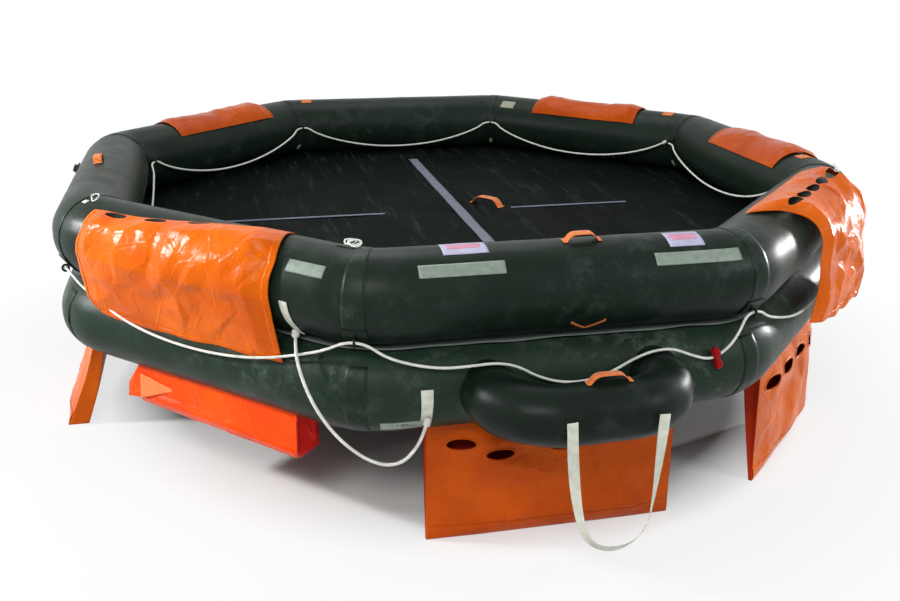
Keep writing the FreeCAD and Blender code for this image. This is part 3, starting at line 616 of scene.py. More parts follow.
def rings_along(line, around, size):
    """Vertices of rings round a line, carried without twist; size(k, angle) is their radius."""
    made = []
    side = UP
    for k, here in enumerate(line):
        ahead = (line[min(k + 1, len(line) - 1)] - line[max(k - 1, 0)]).normalized()
        side = side - ahead * side.dot(ahead)
        side.normalize()
        other = ahead.cross(side)
        for angle in (2 * pi * n / around for n in range(around)):
            made.append(here + (side * cos(angle) + other * sin(angle))
                        * size(k, angle))
    return made


def laid_rope(name, points, radius, mat, nodes, pitch, step, strands=3, around=12, lobe=0.16):
    """Rope of laid strands: a lobed section that turns as it goes."""
    line = resample(cord_line(name, points), step)
    gone = distances(line)

    def size(k, angle):
        turn = 2 * pi * gone[k] / pitch
        return radius * (1 - lobe + lobe * abs(cos(strands * (angle - turn) / 2)))

    piece = mesh_piece(name + "_look", rings_along(line, around, size),
                       wall(len(line), around) + ends(len(line), around), mat, "rope",
                       node_names=nodes)
    return piece, line


# the knot and the bends beside an eye, along the line from the middle of a corner
KNOT_STEP = 0.034
EYE_STEP = 0.042
# a lifeline's middle above the skin, in an eye whose bar stands on a patch
PATCH, STAND, BAR, BITE = 0.004, 0.015, 0.0045, 0.001
LIFT = TUBE_R + PATCH + STAND + BAR - BITE
CORNER_REACH = (FLAT_RADIUS - CORNER_R) / cos(EIGHTH / 2) + CORNER_R
# the lines' sag: a share of half the side and the drop there, or along a side, out and height
INNER_SAG = [(-0.86, 0.038), (-0.66, 0.088), (-0.44, 0.124), (-0.21, 0.145), (0.03, 0.151),
             (0.26, 0.143), (0.49, 0.118), (0.70, 0.082), (0.88, 0.034)]
OUTER_SAG = [(-0.706, 2.050, 0.921), (-0.560, 2.065, 0.872), (-0.405, 2.084, 0.832),
             (-0.240, 2.095, 0.808), (-0.070, 2.099, 0.797), (0.100, 2.099, 0.799),
             (0.265, 2.094, 0.812), (0.425, 2.083, 0.838), (0.575, 2.064, 0.879),
             (0.712, 2.050, 0.926)]
FRONT_SAG = [(-0.722, 2.050, 0.916), (-0.612, 2.064, 0.880), (-0.500, 2.076, 0.862),
             (-0.395, 2.096, 0.872), (-0.300, 2.112, 0.884), (-0.212, 2.108, 0.862),
             (-0.128, 2.099, 0.806), (-0.024, 2.098, 0.768), (0.088, 2.098, 0.765),
             (0.190, 2.099, 0.796), (0.272, 2.108, 0.848), (0.352, 2.114, 0.880),
             (0.440, 2.110, 0.882), (0.532, 2.092, 0.838), (0.626, 2.090, 0.806),
             (0.706, 2.078, 0.846), (0.760, 2.060, 0.904)]
# from the raft's axis
BRIDLE = [(-1.045, -1.812, 0.950), (-1.054, -1.880, 0.905), (-1.046, -1.946, 0.848),
          (-1.024, -1.992, 0.778), (-0.990, -2.022, 0.703), (-0.942, -2.053, 0.630),
          (-0.882, -2.080, 0.566), (-0.812, -2.102, 0.514), (-0.738, -2.114, 0.484),
          (-0.668, -2.118, 0.494), (-0.617, -2.114, 0.546), (-0.587, -2.104, 0.598),
          (-0.566, -2.080, 0.640)]
STEP = [(-0.103, 0.775), (-0.097, 0.672), (-0.089, 0.580), (-0.078, 0.490), (-0.062, 0.400),
        (-0.040, 0.314), (-0.004, 0.251), (0.059, 0.215), (0.131, 0.215), (0.194, 0.251),
        (0.230, 0.314), (0.241, 0.400), (0.248, 0.490), (0.253, 0.580), (0.257, 0.670),
        (0.261, 0.775)]


def round_route(theta, side_points):
    """A line's route round the raft through its eyes, which sit at theta on every corner."""
    angle = radians(theta)
    reach, height = CORNER_REACH + LIFT * cos(angle), UPPER_Z + LIFT * sin(angle)
    points = [corner_point(0, reach, height, KNOT_STEP)]
    for k in range(8):
        if k:
            points += [corner_point(k, reach, height, step) for step in (-EYE_STEP, EYE_STEP)]
        points += side_points(ROUND[(k + 1) % 8], reach, height)
    return points + [corner_point(0, reach, height, step) for step in (-EYE_STEP, KNOT_STEP)]


def outer_side(side, _reach, _height):
    rows = FRONT_SAG if side == "front" else OUTER_SAG
    return [side_point(side, out, along, height) for along, out, height in rows]


def inner_side(side, reach, height):
    half, out = reach * sin(EIGHTH / 2), reach * cos(EIGHTH / 2)
    return [side_point(side, out, share * half, height - drop) for share, drop in INNER_SAG]


def turned(name, nu, nv, point, mat, slot, nodes=()):
    """A closed body of rings; point(u, v) runs along it and round it."""
    vertices, faces = grid(nu, nv, point, wrap_v=True)
    return mesh_piece(name, vertices, faces + ends(nu + 1, nv), mat, slot, node_names=nodes)


def whipped_end(name, line, start, radius, length, mat, nodes):
    """A splice sleeve on a rope: a short wound cylinder with rounded ends."""
    run = line[:2] if start else line[-1:-3:-1]
    along = (run[1] - run[0]).normalized()
    side = along.orthogonal().normalized()
    other = along.cross(side)

    def point(u, v):
        t = u * 2 - 1
        bulge = (1 - abs(t) ** 6) ** 0.5 * (1 + 0.05 * sin(u * 2 * pi * 8))
        angle = 2 * pi * v
        return run[0] + along * (t * length / 2) + (
            side * cos(angle) + other * sin(angle)) * radius * max(bulge, 0.02)

    return turned(name, 32, 16, point, mat, "rope", nodes)


def red_marker(line, mats):
    """A small red cloth marker tied round the outer lifeline near the front right corner."""
    target = side_point("front", 2.09, 0.655, 0.81)
    spot = min(range(len(line)), key=lambda k: (line[k] - target).length)
    here = line[spot]
    ahead = (line[spot + 3] - line[spot - 3]).normalized()
    side = (UP - ahead * ahead.z).normalized()
    other = ahead.cross(side)

    def point(u, v):
        t = 2 * u - 1
        angle = 2 * pi * v
        body = (1 - abs(t) ** 3) ** 0.5 * (0.55 + 0.45 * abs(t) ** 0.8)
        crease = 1 + 0.16 * waves(4 * t, 2 * cos(angle), 2 * sin(angle))
        r = 0.040 * max(body, 0.08) * crease
        return here + side * (t * 0.052 - 0.010) + ahead * (r * 0.62 * cos(angle)) \
            + other * (r * 0.75 * sin(angle))

    return turned("outer_lifeline_marker", 32, 28, point, mats["marker"], "orange_cloth")


def ropes(mats):
    rope_r = 0.006
    rope = mats["rope"]
    piece, line = laid_rope("outer_lifeline", round_route(-40, outer_side), rope_r, rope,
                            ["outer_lifeline"], 0.042, 0.0065)
    knot = whipped_end("outer_lifeline_splice", line, True, 0.0114, 0.030, rope,
                       ["outer_lifeline_knot"])
    marker = red_marker(line, mats)
    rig.cord(piece, exit=line[0], length=14.03, diameter=2 * rope_r, far_end="object",
            stiffness="limp", lay="hanging", path=line, with_pieces=[knot, marker])
    piece, line = laid_rope("inner_lifeline", round_route(174, inner_side), rope_r, rope,
                            ["inner_lifeline"], 0.042, 0.0065)
    knot = whipped_end("inner_lifeline_splice", line, True, 0.0114, 0.030, rope,
                       ["inner_lifeline_knot"])
    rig.cord(piece, exit=line[0], length=11.54, diameter=2 * rope_r, far_end="object",
            stiffness="limp", lay="hanging", path=line, with_pieces=[knot])
    piece, line = laid_rope("tow_bridle", [AXIS + Vector(p) for p in BRIDLE], 0.007, rope,
                            ["tow_bridle"], 0.040, 0.004)
    knots = [whipped_end("tow_bridle_splice_" + end, line, end == "upper", 0.0154, 0.035, rope,
                         nodes) for end, nodes in (("upper", ["tow_bridle_knots"]),
                                                   ("lower", []))]
    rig.cord(piece, exit=line[0], length=0.95, diameter=0.014, far_end="object",
            stiffness="limp", lay="hanging", path=line, with_pieces=knots)


def boarding_step(mats):
    """Flat webbing in a loop; its face turns towards the inside of the bend at the bottom."""
    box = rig.box("boarding_step")
    plane = (box[0][1] + box[1][1]) / 2
    points = [Vector((AXIS.x + x, plane, z)) for x, z in STEP]
    line = resample(cord_line("boarding_step", points), 0.008)
    width, thick = 0.042, 0.0032
    gone = distances(line)
    total = gone[-1]
    across = (-0.5, -0.25, 0, 0.25, 0.5)
    section = [(a, -0.5) for a in across] + [(a, 0.5) for a in reversed(across)]
    vertices = []
    for k, here in enumerate(line):
        ahead = (line[min(k + 1, len(line) - 1)] - line[max(k - 1, 0)]).normalized()
        flat = Vector((0, 1, 0))
        wide = ahead.cross(flat).normalized()
        turn = min(1, max(0, (gone[k] / total - 0.06) / 0.88))
        twist = -radians(72) * sin(pi * turn) * (
            1 - 0.5 * exp(-((turn - 0.5) / 0.13) ** 2))
        wide, flat = (wide * cos(twist) + flat * sin(twist),
                      flat * cos(twist) - wide * sin(twist))
        vertices += [here + wide * (a * width) + flat * (b * thick) for a, b in section]
    faces = wall(len(line), len(section)) + ends(len(line), len(section))
    piece = mesh_piece("boarding_step_webbing", vertices, faces, mats["webbing"],
                       "cream_webbing", smooth=False, node_names=["boarding_step"])
    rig.cord(piece, exit=line[0], length=total, diameter=width, far_end="object",
            stiffness="limp", lay="hanging", path=line)


# ---------------------------------------------------------------- tubes, floor and ramp

def buoyancy_tube(name, mats):
    upper = name == "upper"
    per_side, per_corner, around = 34, 20, 72
    stations = []
    for start in (k * PERIOD - STRAIGHT / 2 for k in range(8)):
        stations += [start + STRAIGHT * n / per_side for n in range(per_side)]
        stations += [start + STRAIGHT + CORNER_R * EIGHTH * n / per_corner
                     for n in range(per_corner)]
    count = len(stations)

    def point(u, v):
        return tube_point(stations[round(u * count) % count], 2 * pi * v, 0.0, upper)

    vertices, faces = grid(count, around, point, wrap_u=True, wrap_v=True)
    name += "_buoyancy_tube"
    mesh_piece(name + "_skin", vertices, faces,
               mats["rubber" if upper else "dusty_rubber"], "tube_rubber", node_names=[name])


def corner_s(k):
    """Distance round the raft of the middle of a corner."""
    return k * PERIOD + STRAIGHT / 2 + BEND * 0.5


def seam_bands(name, mats):
    """Cloth bands over the mitred joint at each corner."""
    upper = name == "upper"
    width, proud = 0.058, 0.0022
    bottom, top = (-0.78, pi + 0.78) if upper else (pi - 0.78, 2 * pi + 0.78)
    for k in range(8):
        def point(u, v, lift):
            return tube_point(corner_s(k) + (u - 0.5) * width, bottom + (top - bottom) * v,
                              lift, upper)

        shell("%s_seam_band_%d" % (name, k), 6, 56, point, proud, mats["band"], "tube_rubber")


def crease_lip(mats):
    """The floor's edge, which shows as a thin wavy lip in the crease between the tubes."""
    reach_in, reach_out, stations = 0.020, 0.086, 640

    def point(u, v, lift):
        s = u * 8 * PERIOD
        centre, out = loop(s)
        reach = reach_in + (reach_out + 0.010 * waves(s * 3.1, 0.0, 4.0) - reach_in) * v
        sag = -0.005 * v + 0.006 * v * waves(s * 5.3, 2.0, 0.0)
        return centre + out * reach + Vector((0, 0, CONTACT - 0.001 + lift + sag))

    shell("floor_edge_lip", stations, 4, point, 0.002, mats["lip"], "floor_cloth")


def raft_floor(mats):
    """Rubber cloth stretched between the tubes, with faint waves that fade at its edge."""
    rings, around = 44, 320
    under, over = FLOOR_BOX[0][2], FLOOR_BOX[1][2]

    def layer(height, loose):
        def point(u, v):
            centre, out = loop(v * 8 * PERIOD)
            share = max(u, 0.002)
            x, y, _ = AXIS + (centre + out * 0.02 - AXIS) * share
            wave = 0.006 * waves(x * 1.6, y * 1.6, 1.0) + 0.0035 * waves(x * 5.5, y * 2.2, 6.0)
            fade = min(1.0, (1 - share) * 6)
            return Vector((x, y, height + fade * max(0.0, wave + 0.002) * loose))
        return grid(rings, around, point, wrap_v=True)

    top, faces = layer(under + (over - under), 1)
    bottom, lower = layer(under, 0)
    count = len(top)
    faces = [tuple(reversed(f)) for f in faces] + [tuple(count + i for i in f) for f in lower]
    faces.append(tuple(range(around)))
    faces.append(tuple(count + i for i in reversed(range(around))))
    last = rings * around
    for n, m in zip(range(around), [*range(1, around), 0]):
        faces.append((last + n, last + m, count + last + m, count + last + n))
    mesh_piece("floor_cloth_sheet", top + bottom, faces, mats["floor"], "floor_cloth",
               node_names=["floor"])


def boarding_ramp(mats):
    """The boarding ramp's tube: a U on the front, sized from its node's box."""
    low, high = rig.box("boarding_ramp_tube")
    radius = (high[2] - low[2]) / 2
    middle, z = (low[0] + high[0]) / 2, (low[2] + high[2]) / 2
    half = (high[0] - low[0]) / 2 - radius
    front = low[1] + radius
    bend, sunk = 0.230, 0.03
    root = AXIS.y - FLAT_RADIUS - sunk

    def quarter(x, start):
        return [Vector((x + bend * cos(a), front + bend + bend * sin(a), z))
                for a in (start + pi / 2 * n / 24 for n in range(25))]

    line = [Vector((middle - half, root + (front + bend - root) * n / 15, z))
            for n in range(15)]
    line += quarter(middle - half + bend, pi)
    line += [Vector((middle - half + bend + 2 * (half - bend) * n / 14, front, z))
             for n in range(1, 14)]
    line += quarter(middle + half - bend, 1.5 * pi)
    line += [Vector((middle + half, front + bend + (root - front - bend) * n / 15, z))
             for n in range(1, 16)]

    def size(k, a):
        share = k / (len(line) - 1)
        soft = 0.004 * waves(share * 9, cos(a), sin(a) + 3)
        return radius - 0.003 + soft - 0.003 * abs(sin(share * 40)) * max(
            0, -cos(a + pi / 2)) ** 3

    around = 56
    mesh_piece("boarding_ramp_skin", rings_along(line, around, size), wall(len(line), around),
               mats["ramp_rubber"], "tube_rubber", node_names=["boarding_ramp_tube"])


def ramp_deck(mats):
    """Cloth deck inside the ramp's U, sagging a little between the tubes."""
    low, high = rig.box("boarding_ramp_deck")

    def point(u, v, lift):
        x = low[0] + (high[0] - low[0]) * u
        y = low[1] + (high[1] - low[1]) * v
        sag = 0.012 * sin(pi * u) * sin(pi * v)
        wave = 0.004 * waves(x * 9, y * 9, 2.0)
        return Vector((x, y, low[2] + 0.001 - sag + wave * min(1, 8 * min(u, v, 1 - u, 1 - v))
                       + lift))

    piece = shell("ramp_deck_cloth", 40, 16, point, 0.002, mats["floor"], "floor_cloth",
                  ["boarding_ramp_deck"])
    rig.sheet(piece, flat=(high[0] - low[0], high[1] - low[1]), held="stretched",
             rests_on=["boarding_ramp_skin"])


# ---------------------------------------------------------------- cloth

def facets(seed, spread, depth, stretch=(1.0, 1.0), turn=0.0):
    """Height of creased cloth: flat facets between scattered points, two metres each way."""
    chance = random.Random(seed)
    reach = 1.1
    points, heights = [], []
    steps = int(2 * reach / spread)
    for i in range(steps + 1):
        for j in range(steps + 1):
            points.append(Vector(((i + chance.uniform(-0.45, 0.45)) * spread - reach,
                                  (j + chance.uniform(-0.45, 0.45)) * spread - reach)))
            heights.append(chance.uniform(0.0, depth))
    places, _, triangles, origin, _, _ = delaunay_2d_cdt(points, [], [], 0, 1e-6)
    tree = BVHTree.FromPolygons(
        [Vector((p.x, p.y, heights[origin[k][0]])) for k, p in enumerate(places)], triangles)
    c, s = cos(turn), sin(turn)

    def height(x, y):
        a, b = (x * c + y * s) / stretch[0], (y * c - x * s) / stretch[1]
        hit = tree.ray_cast(Vector((a, b, 1.0)), -UP)[0]
        return hit.z if hit else 0.0

    return height


def crumple(seed, depth):
    """Long folds, shorter creases across them and a little softness."""
    long_folds = facets(seed, 0.23, depth, (1.7, 0.9), 0.35)
    creases = facets(seed + 50, 0.12, depth * 0.55, (1.1, 0.8), -0.6)
    small = facets(seed + 90, 0.060, depth * 0.20)
    return lambda x, y: (long_folds(x, y) + creases(x, y) + small(x, y)
                         + 0.0012 * waves(x * 12, y * 12, seed))


# An upper pocket's places along its side, left and right, at the inner edge, over the tube's
# crest and at the hem.  Then, each from the left end to the right: the height angle of its
# inner edge, the drop of its hem below the tube's middle and how far it stands off.  Corner is
# what its lower left corner lacks, oval how far its holes are from the inner edge, and calm
# how flat it hangs.
DRAPED = {
    "front_left": dict(left=(-0.62, -0.640, -0.645), right=(0.40, 0.480, 0.500), top=(60, 112),
                       hang=(0.305, 0.285), off=(0.004, 0.004), corner=0.12, oval=0.022,
                       ovals=4, seed=11, calm=0.8),
    "front_right": dict(left=(-0.49, -0.235, -0.250), right=(0.52, 0.520, 0.460),
                        top=(104, 104), hang=(0.350, 0.400), off=(0.050, 0.085), corner=0.0,
                        oval=0.135, ovals=5, seed=23, calm=0.0),
    "right": dict(left=(-0.535, -0.530, -0.530), right=(0.255, 0.255, 0.255), top=(144, 144),
                  oval=0.29, seed=35),
    "back_right": dict(left=(-0.405, -0.400, -0.400), right=(0.385, 0.380, 0.380),
                       top=(144, 144), oval=0.29, seed=47),
    "back_left": dict(left=(-0.470, -0.470, -0.470), right=(0.390, 0.385, 0.385),
                      top=(140, 140), oval=0.28, seed=59),
}
FAR = dict(hang=(0.225, 0.225), off=(0.0, 0.0), corner=0.0, ovals=3, calm=0.5)
# where an upper pocket changes from its inner edge to its run over the crest
CREST = 0.4


def draped_pocket(side, mats):
    """An upper pocket lying over the tube from its inner side and hanging down outside.

    Its oval holes sit near its inner edge, so that they show as dark slits from outside.
    """
    data = {**FAR, **DRAPED[side]}
    near = side.startswith("front")
    seat = TUBE_R + 0.004
    folds = crumple(data["seed"], 0.056 if near else 0.026)

    def along_edge(values, v):
        first, crest, low = values
        if v < CREST:
            t = v / CREST
            t = t * t * (3 - 2 * t)
            return first + (crest - first) * t
        return crest + (low - crest) * (v - CREST) / 0.6

    def top_angle(u):
        return radians(data["top"][0] + (data["top"][1] - data["top"][0]) * u ** 2.5)

    def across(name, u):
        return data[name][0] + (data[name][1] - data[name][0]) * u

    def place_at(u, v, lift):
        arc = top_angle(u) * seat
        hang = across("hang", u)
        hang += 0.012 * waves(u * 5, 1.0, data["seed"])
        run = v * (arc + hang)
        first, last = along_edge(data["left"], v), along_edge(data["right"], v)
        first += data["corner"] * (max(0.0, v - 0.78) / 0.22) ** 2.5
        along = first + (last - first) * u
        along += 0.006 * waves(v * 6, 3.0 + round(u), data["seed"]) * abs(2 * u - 1) ** 4
        ease = min(1.0, 5 * v + 0.15) * min(1.0, 0.22 + 9 * min(u, 1 - u))
        rise = 0.0030 + ease * folds(along, run)
        off = across("off", u)
        if run < arc:
            theta = top_angle(u) - run / seat
            off = off * max(0.0, cos(theta)) ** 3
            return tube_point(side_s(side, along), theta, rise + lift + off, True)
        down = run - arc
        share = down / hang
        sway = 0.022 * waves(along * 2.7, down * 3.0, data["seed"]) * share
        rise *= 1 - data["calm"] * share
        sway *= 1 - data["calm"]
        return side_point(side, FLAT_RADIUS + TUBE_R + rise + lift + sway + off
                          - 0.012 * share ** 2 - 0.030 * data["calm"] * share, along,
                          UPPER_Z - down)

    width = along_edge(data["right"], 0.5) - along_edge(data["left"], 0.5)
    length = sum(top_angle(t) * seat + data["hang"][0] for t in (0.2, 0.5, 0.8)) / 3
    count = data["ovals"]
    ovals = [((k + 0.7) / (count + 0.4), data["oval"] / length, 0.066 / width, 0.019 / length)
             for k in range(count)]
    cells = (156, 112) if near else (104, 80)
    hem_share, edge_share = 0.045, 0.022
    # the far upper pockets take the orange with painted shade
    mat = mats["orange" if near else "orange_low"]
    piece = shell(side + "_upper_pocket_cloth", *cells, place_at, CLOTH, mat, "orange_cloth",
                  [side + "_upper_pocket"], ovals, creased=7)
    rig.sheet(piece, flat=(width, length), held="draped", rests_on=["upper_buoyancy_tube_skin"])
    shell(side + "_upper_pocket_hem", 150, 6,
          lambda u, v, lift: place_at(u, 1 - hem_share + hem_share * v, CLOTH + lift),
          CLOTH, mat, "orange_cloth")
    for name, low, high in (("left", 0.0, edge_share), ("right", 1 - edge_share, 1.0)):
        shell("%s_upper_pocket_%s_edge" % (side, name), 4, 110,
              lambda u, v, lift: place_at(low + (high - low) * u, 0.02 + 0.93 * v,
                                          CLOTH + lift),
              PLY, mat, "orange_cloth")


# A lower pocket's middle and width along its side, how far out it hangs, how far its hem leans
# out, and the gaps between its plies at the top and at the hem.
HUNG = {
    "front": dict(middle=0.015, width=1.120, out=1.930, lean=0.0, seed=5),
    "front_right": dict(out=2.000, seed=15),
    "right": dict(seed=25),
    "back_right": dict(seed=65),
    "back": dict(seed=75),
    "back_left": dict(seed=85),
    "left": dict(out=1.970, lean=0.19, seed=95, wedge=0.030, spread=0.10),
}
USUAL = dict(middle=0.0, width=0.980, out=1.990, lean=0.02, wedge=0.080, spread=0.014)


def hung_pocket(side, mats):
    """A lower pocket: an outer ply with oval holes, an inner ply, end gussets and a hem."""
    data = {**USUAL, **HUNG[side]}
    middle, width, seed = data["middle"], data["width"], data["seed"]
    # the front pocket takes the orange with painted shade
    mat = mats["orange_low" if side == "front" else "orange"]
    folds = crumple(seed, 0.030)
    under = LOWER_Z - sqrt(TUBE_R ** 2 - (data["out"] - FLAT_RADIUS) ** 2) + 0.004
    turn = spin(side)

    def ply(depth_top, depth_low, flip):
        def point(u, v, lift):
            along = middle + (u - 0.5) * (width - 0.012)
            share = 1 - v
            z = under * v + 0.002
            tuck = depth_top * v + depth_low * share
            out = data["out"] - 0.004 - tuck + data["lean"] * share ** 1.5
            ease = min(1.0, 5 * min(u, 1 - u) + 0.1) * min(1.0, 6 * v + 0.15) * min(
                1.0, 5 * (1 - v) + 0.1)
            wave = folds(along, z) * ease + 0.010 * ease * (
                1 + waves(along * 2.4, z * 2.0, seed))
            return side_point(side, out + flip * wave + lift, along, z)
        return point

    outer, inner = ply(0.0, 0.0, 1), ply(data["wedge"], data["spread"], -0.1)
    if side == "front":
        ovals = [(u, 1 - drop / under, 0.062 / width, 0.023 / under)
                 for u, drop in ((0.13, 0.095), (0.28, 0.150), (0.53, 0.135), (0.75, 0.130))]
    else:
        ovals = [(0.5 + (k - 1.5) * 0.235, 1 - 0.112 / under, 0.082 / width, 0.030 / under)
                 for k in range(4)]
    cells = (120, 64) if side.startswith("front") else (88, 48)
    cloth = shell(side + "_lower_pocket_cloth", *cells, outer, PLY, mat, "orange_cloth",
                  [side + "_lower_pocket"], ovals, creased=7)
    # the inner ply is deep red, a painted shade inside the pocket
    parts = [shell(side + "_lower_pocket_lining", 44, 24, inner, PLY, mats["lining"],
                   "orange_cloth")]
    for name, u in (("near", 0.0), ("far", 1.0)):
        def gusset(a, b, lift):
            inward = 0.020 * sin(pi * a) * b * (1 if u == 0 else -1)
            return outer(u, b, 0.0).lerp(inner(u, b, 0.0), a) + turn @ Vector(
                (0, inward + lift, 0))
        # the end gussets are deep red, painted shade, except on the left pocket, which keeps the plain orange
        parts.append(shell("%s_lower_pocket_gusset_%s" % (side, name), 6, 30, gusset, PLY,
                           mat if side == "left" else mats["lining"], "orange_cloth"))

    def hem(u, v, lift):
        bulge = 0.0035 + 0.006 * sin(pi * v) ** 0.5
        return outer(u, v * 0.115, 0.0) + turn @ Vector((bulge * 0.6 + lift, 0, 0))

    parts.append(shell(side + "_lower_pocket_hem", 120, 12, hem, PLY, mat, "orange_cloth"))
    for k, (u0, v0, ru, rv) in enumerate(ovals):
        def lip(a, b):
            angle = 2 * pi * a
            grow = 1.0 + 0.16 * b
            spot = outer(u0 + ru * grow * cos(angle),
                         v0 + rv * grow * 1.15 * sin(angle), PLY)
            return spot + turn @ Vector((0.001 + 0.002 * sin(pi * b) + 0.001, 0, 0))
        vertices, faces = grid(40, 4, lip, wrap_u=True)
        parts.append(mesh_piece("%s_lower_pocket_lip_%d" % (side, k), vertices, faces, mat,
                                "orange_cloth"))
    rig.sheet(cloth, flat=(width, under), held="hung",
             rests_on=["lower_buoyancy_tube_skin"], with_pieces=parts)


def folded_bundle(mats):
    """The front left lower pocket, still folded flat into a long bundle under its tube."""
    side, middle, half = "front_left", -0.015, 0.505
    line_out = FLAT_RADIUS + 0.012
    bottom, top = 0.340, 0.575
    folds = crumple(131, 0.020)
    corners = [(-0.055, 1.0), (0.070, 1.0), (0.078, 0.12), (0.052, 0.0), (-0.060, 0.05)]
    around = 14 * len(corners)

    def section(t):
        """Place round the bundle's section from 0 to 1: out from its line, share of height."""
        k = t * len(corners)
        a, b = corners[int(k) % len(corners)], corners[(int(k) + 1) % len(corners)]
        f = k - int(k)
        f = f * f * (3 - 2 * f) * 0.35 + f * 0.65
        return a[0] * (1 - f) + b[0] * f, a[1] * (1 - f) + b[1] * f

    def point(u, v):
        out, share = section(v)
        along = middle + (u - 0.5) * 2 * half - 0.010 * (1 - u)
        low = bottom + 0.030 * (1 - u)
        z = low + (top - low) * share * (0.42 + 0.58 * min(1.0, u / 0.085))
        rise = folds(along, out * 3 + z) - 0.005
        return side_point(side, line_out + out * (1 + rise * 6), along,
                          z + (rise * 0.8 if share < 0.3 else 0))

    vertices, faces = grid(96, around, point, wrap_v=True)
    faces = [tuple(reversed(f)) for f in faces] + [tuple(range(around))]
    piece = mesh_piece("front_left_lower_pocket_bundle", vertices, faces, mats["red_orange"],
                       "red_orange_cloth", node_names=["front_left_lower_pocket"])
    end = [point(1.0, n / around) for n in range(around)]
    centre = sum(end, Vector()) / around
    dished = ((1.0, 0.0005), (0.98, 0.004), (0.7, -0.004), (0.35, -0.010))
    # the end face is deep red: painted shade inside the bundle's open end
    cap = mesh_piece("front_left_lower_pocket_end",
                     [centre + (p - centre) * size + spin(side) @ Vector((0, push, 0))
                      for size, push in dished for p in end],
                     wall(len(dished), around) + ends(len(dished), around)[1:],
                     mats["end_red"], "red_orange_cloth")

    def flap(u, v, lift):
        """A corner folded over the left end; it faces up a little and catches the light, and its paler colour is a
        painted highlight.
        """
        along = middle - half + 0.085 + 0.205 * u
        z = top - 0.048 - 0.030 * u - (0.112 * (1 - u) + 0.010) * v
        return side_point(side, line_out + 0.084 + 0.010 * v * (1 - u) + lift, along, z)

    corner = shell("front_left_lower_pocket_fold", 24, 16, flap, CLOTH, mats["pale_fold"],
                   "red_orange_cloth")

    def strip(u, v, lift):
        along = middle - half + 0.06 + (2 * half - 0.075) * u
        low = bottom + 0.030 * (0.94 - 0.9 * u)
        swing = 0.010 * waves(u * 7, 2.0, 5.0)
        return side_point(side, line_out + 0.086 - 0.028 * (1 - v) + lift + 0.3 * swing,
                          along, low + 0.002 + 0.046 * v + swing * v)

    hem = shell("front_left_lower_pocket_hem", 96, 6, strip, 0.0018, mats["red_orange"],
                "red_orange_cloth")
    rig.sheet(piece, flat=(1.01, 0.42), held="folded", rests_on=["lower_buoyancy_tube_skin"],
             with_pieces=[cap, corner, hem])


# ---------------------------------------------------------------- tapes, patches and handles

def skin_patch(name, side, middle, width, top, sweep, thickness, mat, slot, upper=True,
               nodes=()):
    """A thin patch on the skin of a tube: width along it, sweep degrees down from top."""
    def point(u, v, lift):
        return tube_point(side_s(side, middle + (u - 0.5) * width),
                          radians(top - sweep * v), 0.0006 + lift, upper)

    cells = max(6, int(width / 0.012)), max(4, int(sweep / 2))
    return shell(name, *cells, point, thickness, mat, slot, nodes)


def tapes_and_panels(mats):
    rows = [("upper", "front_left", 0.610, 0.164, 50, 16),
            ("upper", "front", -0.418, 0.342, 54, 17),
            ("upper", "front", 0.545, 0.346, 51, 17),
            ("upper", "back", -0.430, 0.340, 54, 17),
            ("upper", "back", 0.430, 0.340, 54, 17),
            ("lower", "front", -0.636, 0.164, -30, 17),
            ("lower", "front_right", -0.600, 0.164, -26, 17),
            ("lower", "back", 0.0, 0.340, -20, 17)]
    for k, (tube, side, middle, width, top, sweep) in enumerate(rows):
        skin_patch("reflective_tape_%d" % k, side, middle, width, top, sweep, 0.0012,
                   mats["tape"], "reflective_tape", tube == "upper",
                   [tube + "_reflective_tapes"])
    for k, (middle, width, top) in enumerate(((-0.388, 0.182, 101), (0.527, 0.152, 92))):
        skin_patch("blank_panel_%d" % k, "front", middle, width, top, 33, 0.0009,
                   mats["panel"], "panel_cloth", nodes=["blank_panels"])
        skin_patch("blank_panel_field_%d" % k, "front", middle, width * 0.74, top - 7, 14,
                   CLOTH, mats["panel_field"], "panel_cloth")


def strap_loop(name, origin, along, up, half, rise, width, mat, nodes):
    """A webbing handle: two sewn feet and a grip that bends up smoothly between them."""
    across = along.cross(up).normalized()
    count, foot = 72, 0.014

    def spine(t):
        x = (2 * t - 1) * (half + foot)
        if abs(x) > half:
            return x, 0.0
        share = 1 - abs(x) / half
        return x, rise * (1 - (1 - share) ** 5) ** 1.3

    top = [(-0.5, 0.0), (-0.47, 0.0012), (-0.2, 0.0018), (0.2, 0.0018), (0.47, 0.0012)]
    section = top + [(-a, -b) for a, b in top]
    ring = len(section)
    vertices = []
    for k in range(count + 1):
        x, h = spine(k / count)
        ahead = Vector(spine(min(1, (k + 1) / count))) - Vector(spine(max(0, (k - 1) / count)))
        ahead.normalize()
        normal = up * ahead.x - along * ahead.y
        centre = origin + along * x + up * (h + 0.0028)
        vertices += [centre + across * (a * width) + normal * b for a, b in section]
    faces = [(a, d, c, b) for a, b, c, d in wall(count + 1, ring)]
    first, last = ends(count + 1, ring)
    mesh_piece(name, vertices, faces + [first[::-1], last[::-1]], mat, "orange_cloth",
               node_names=nodes)


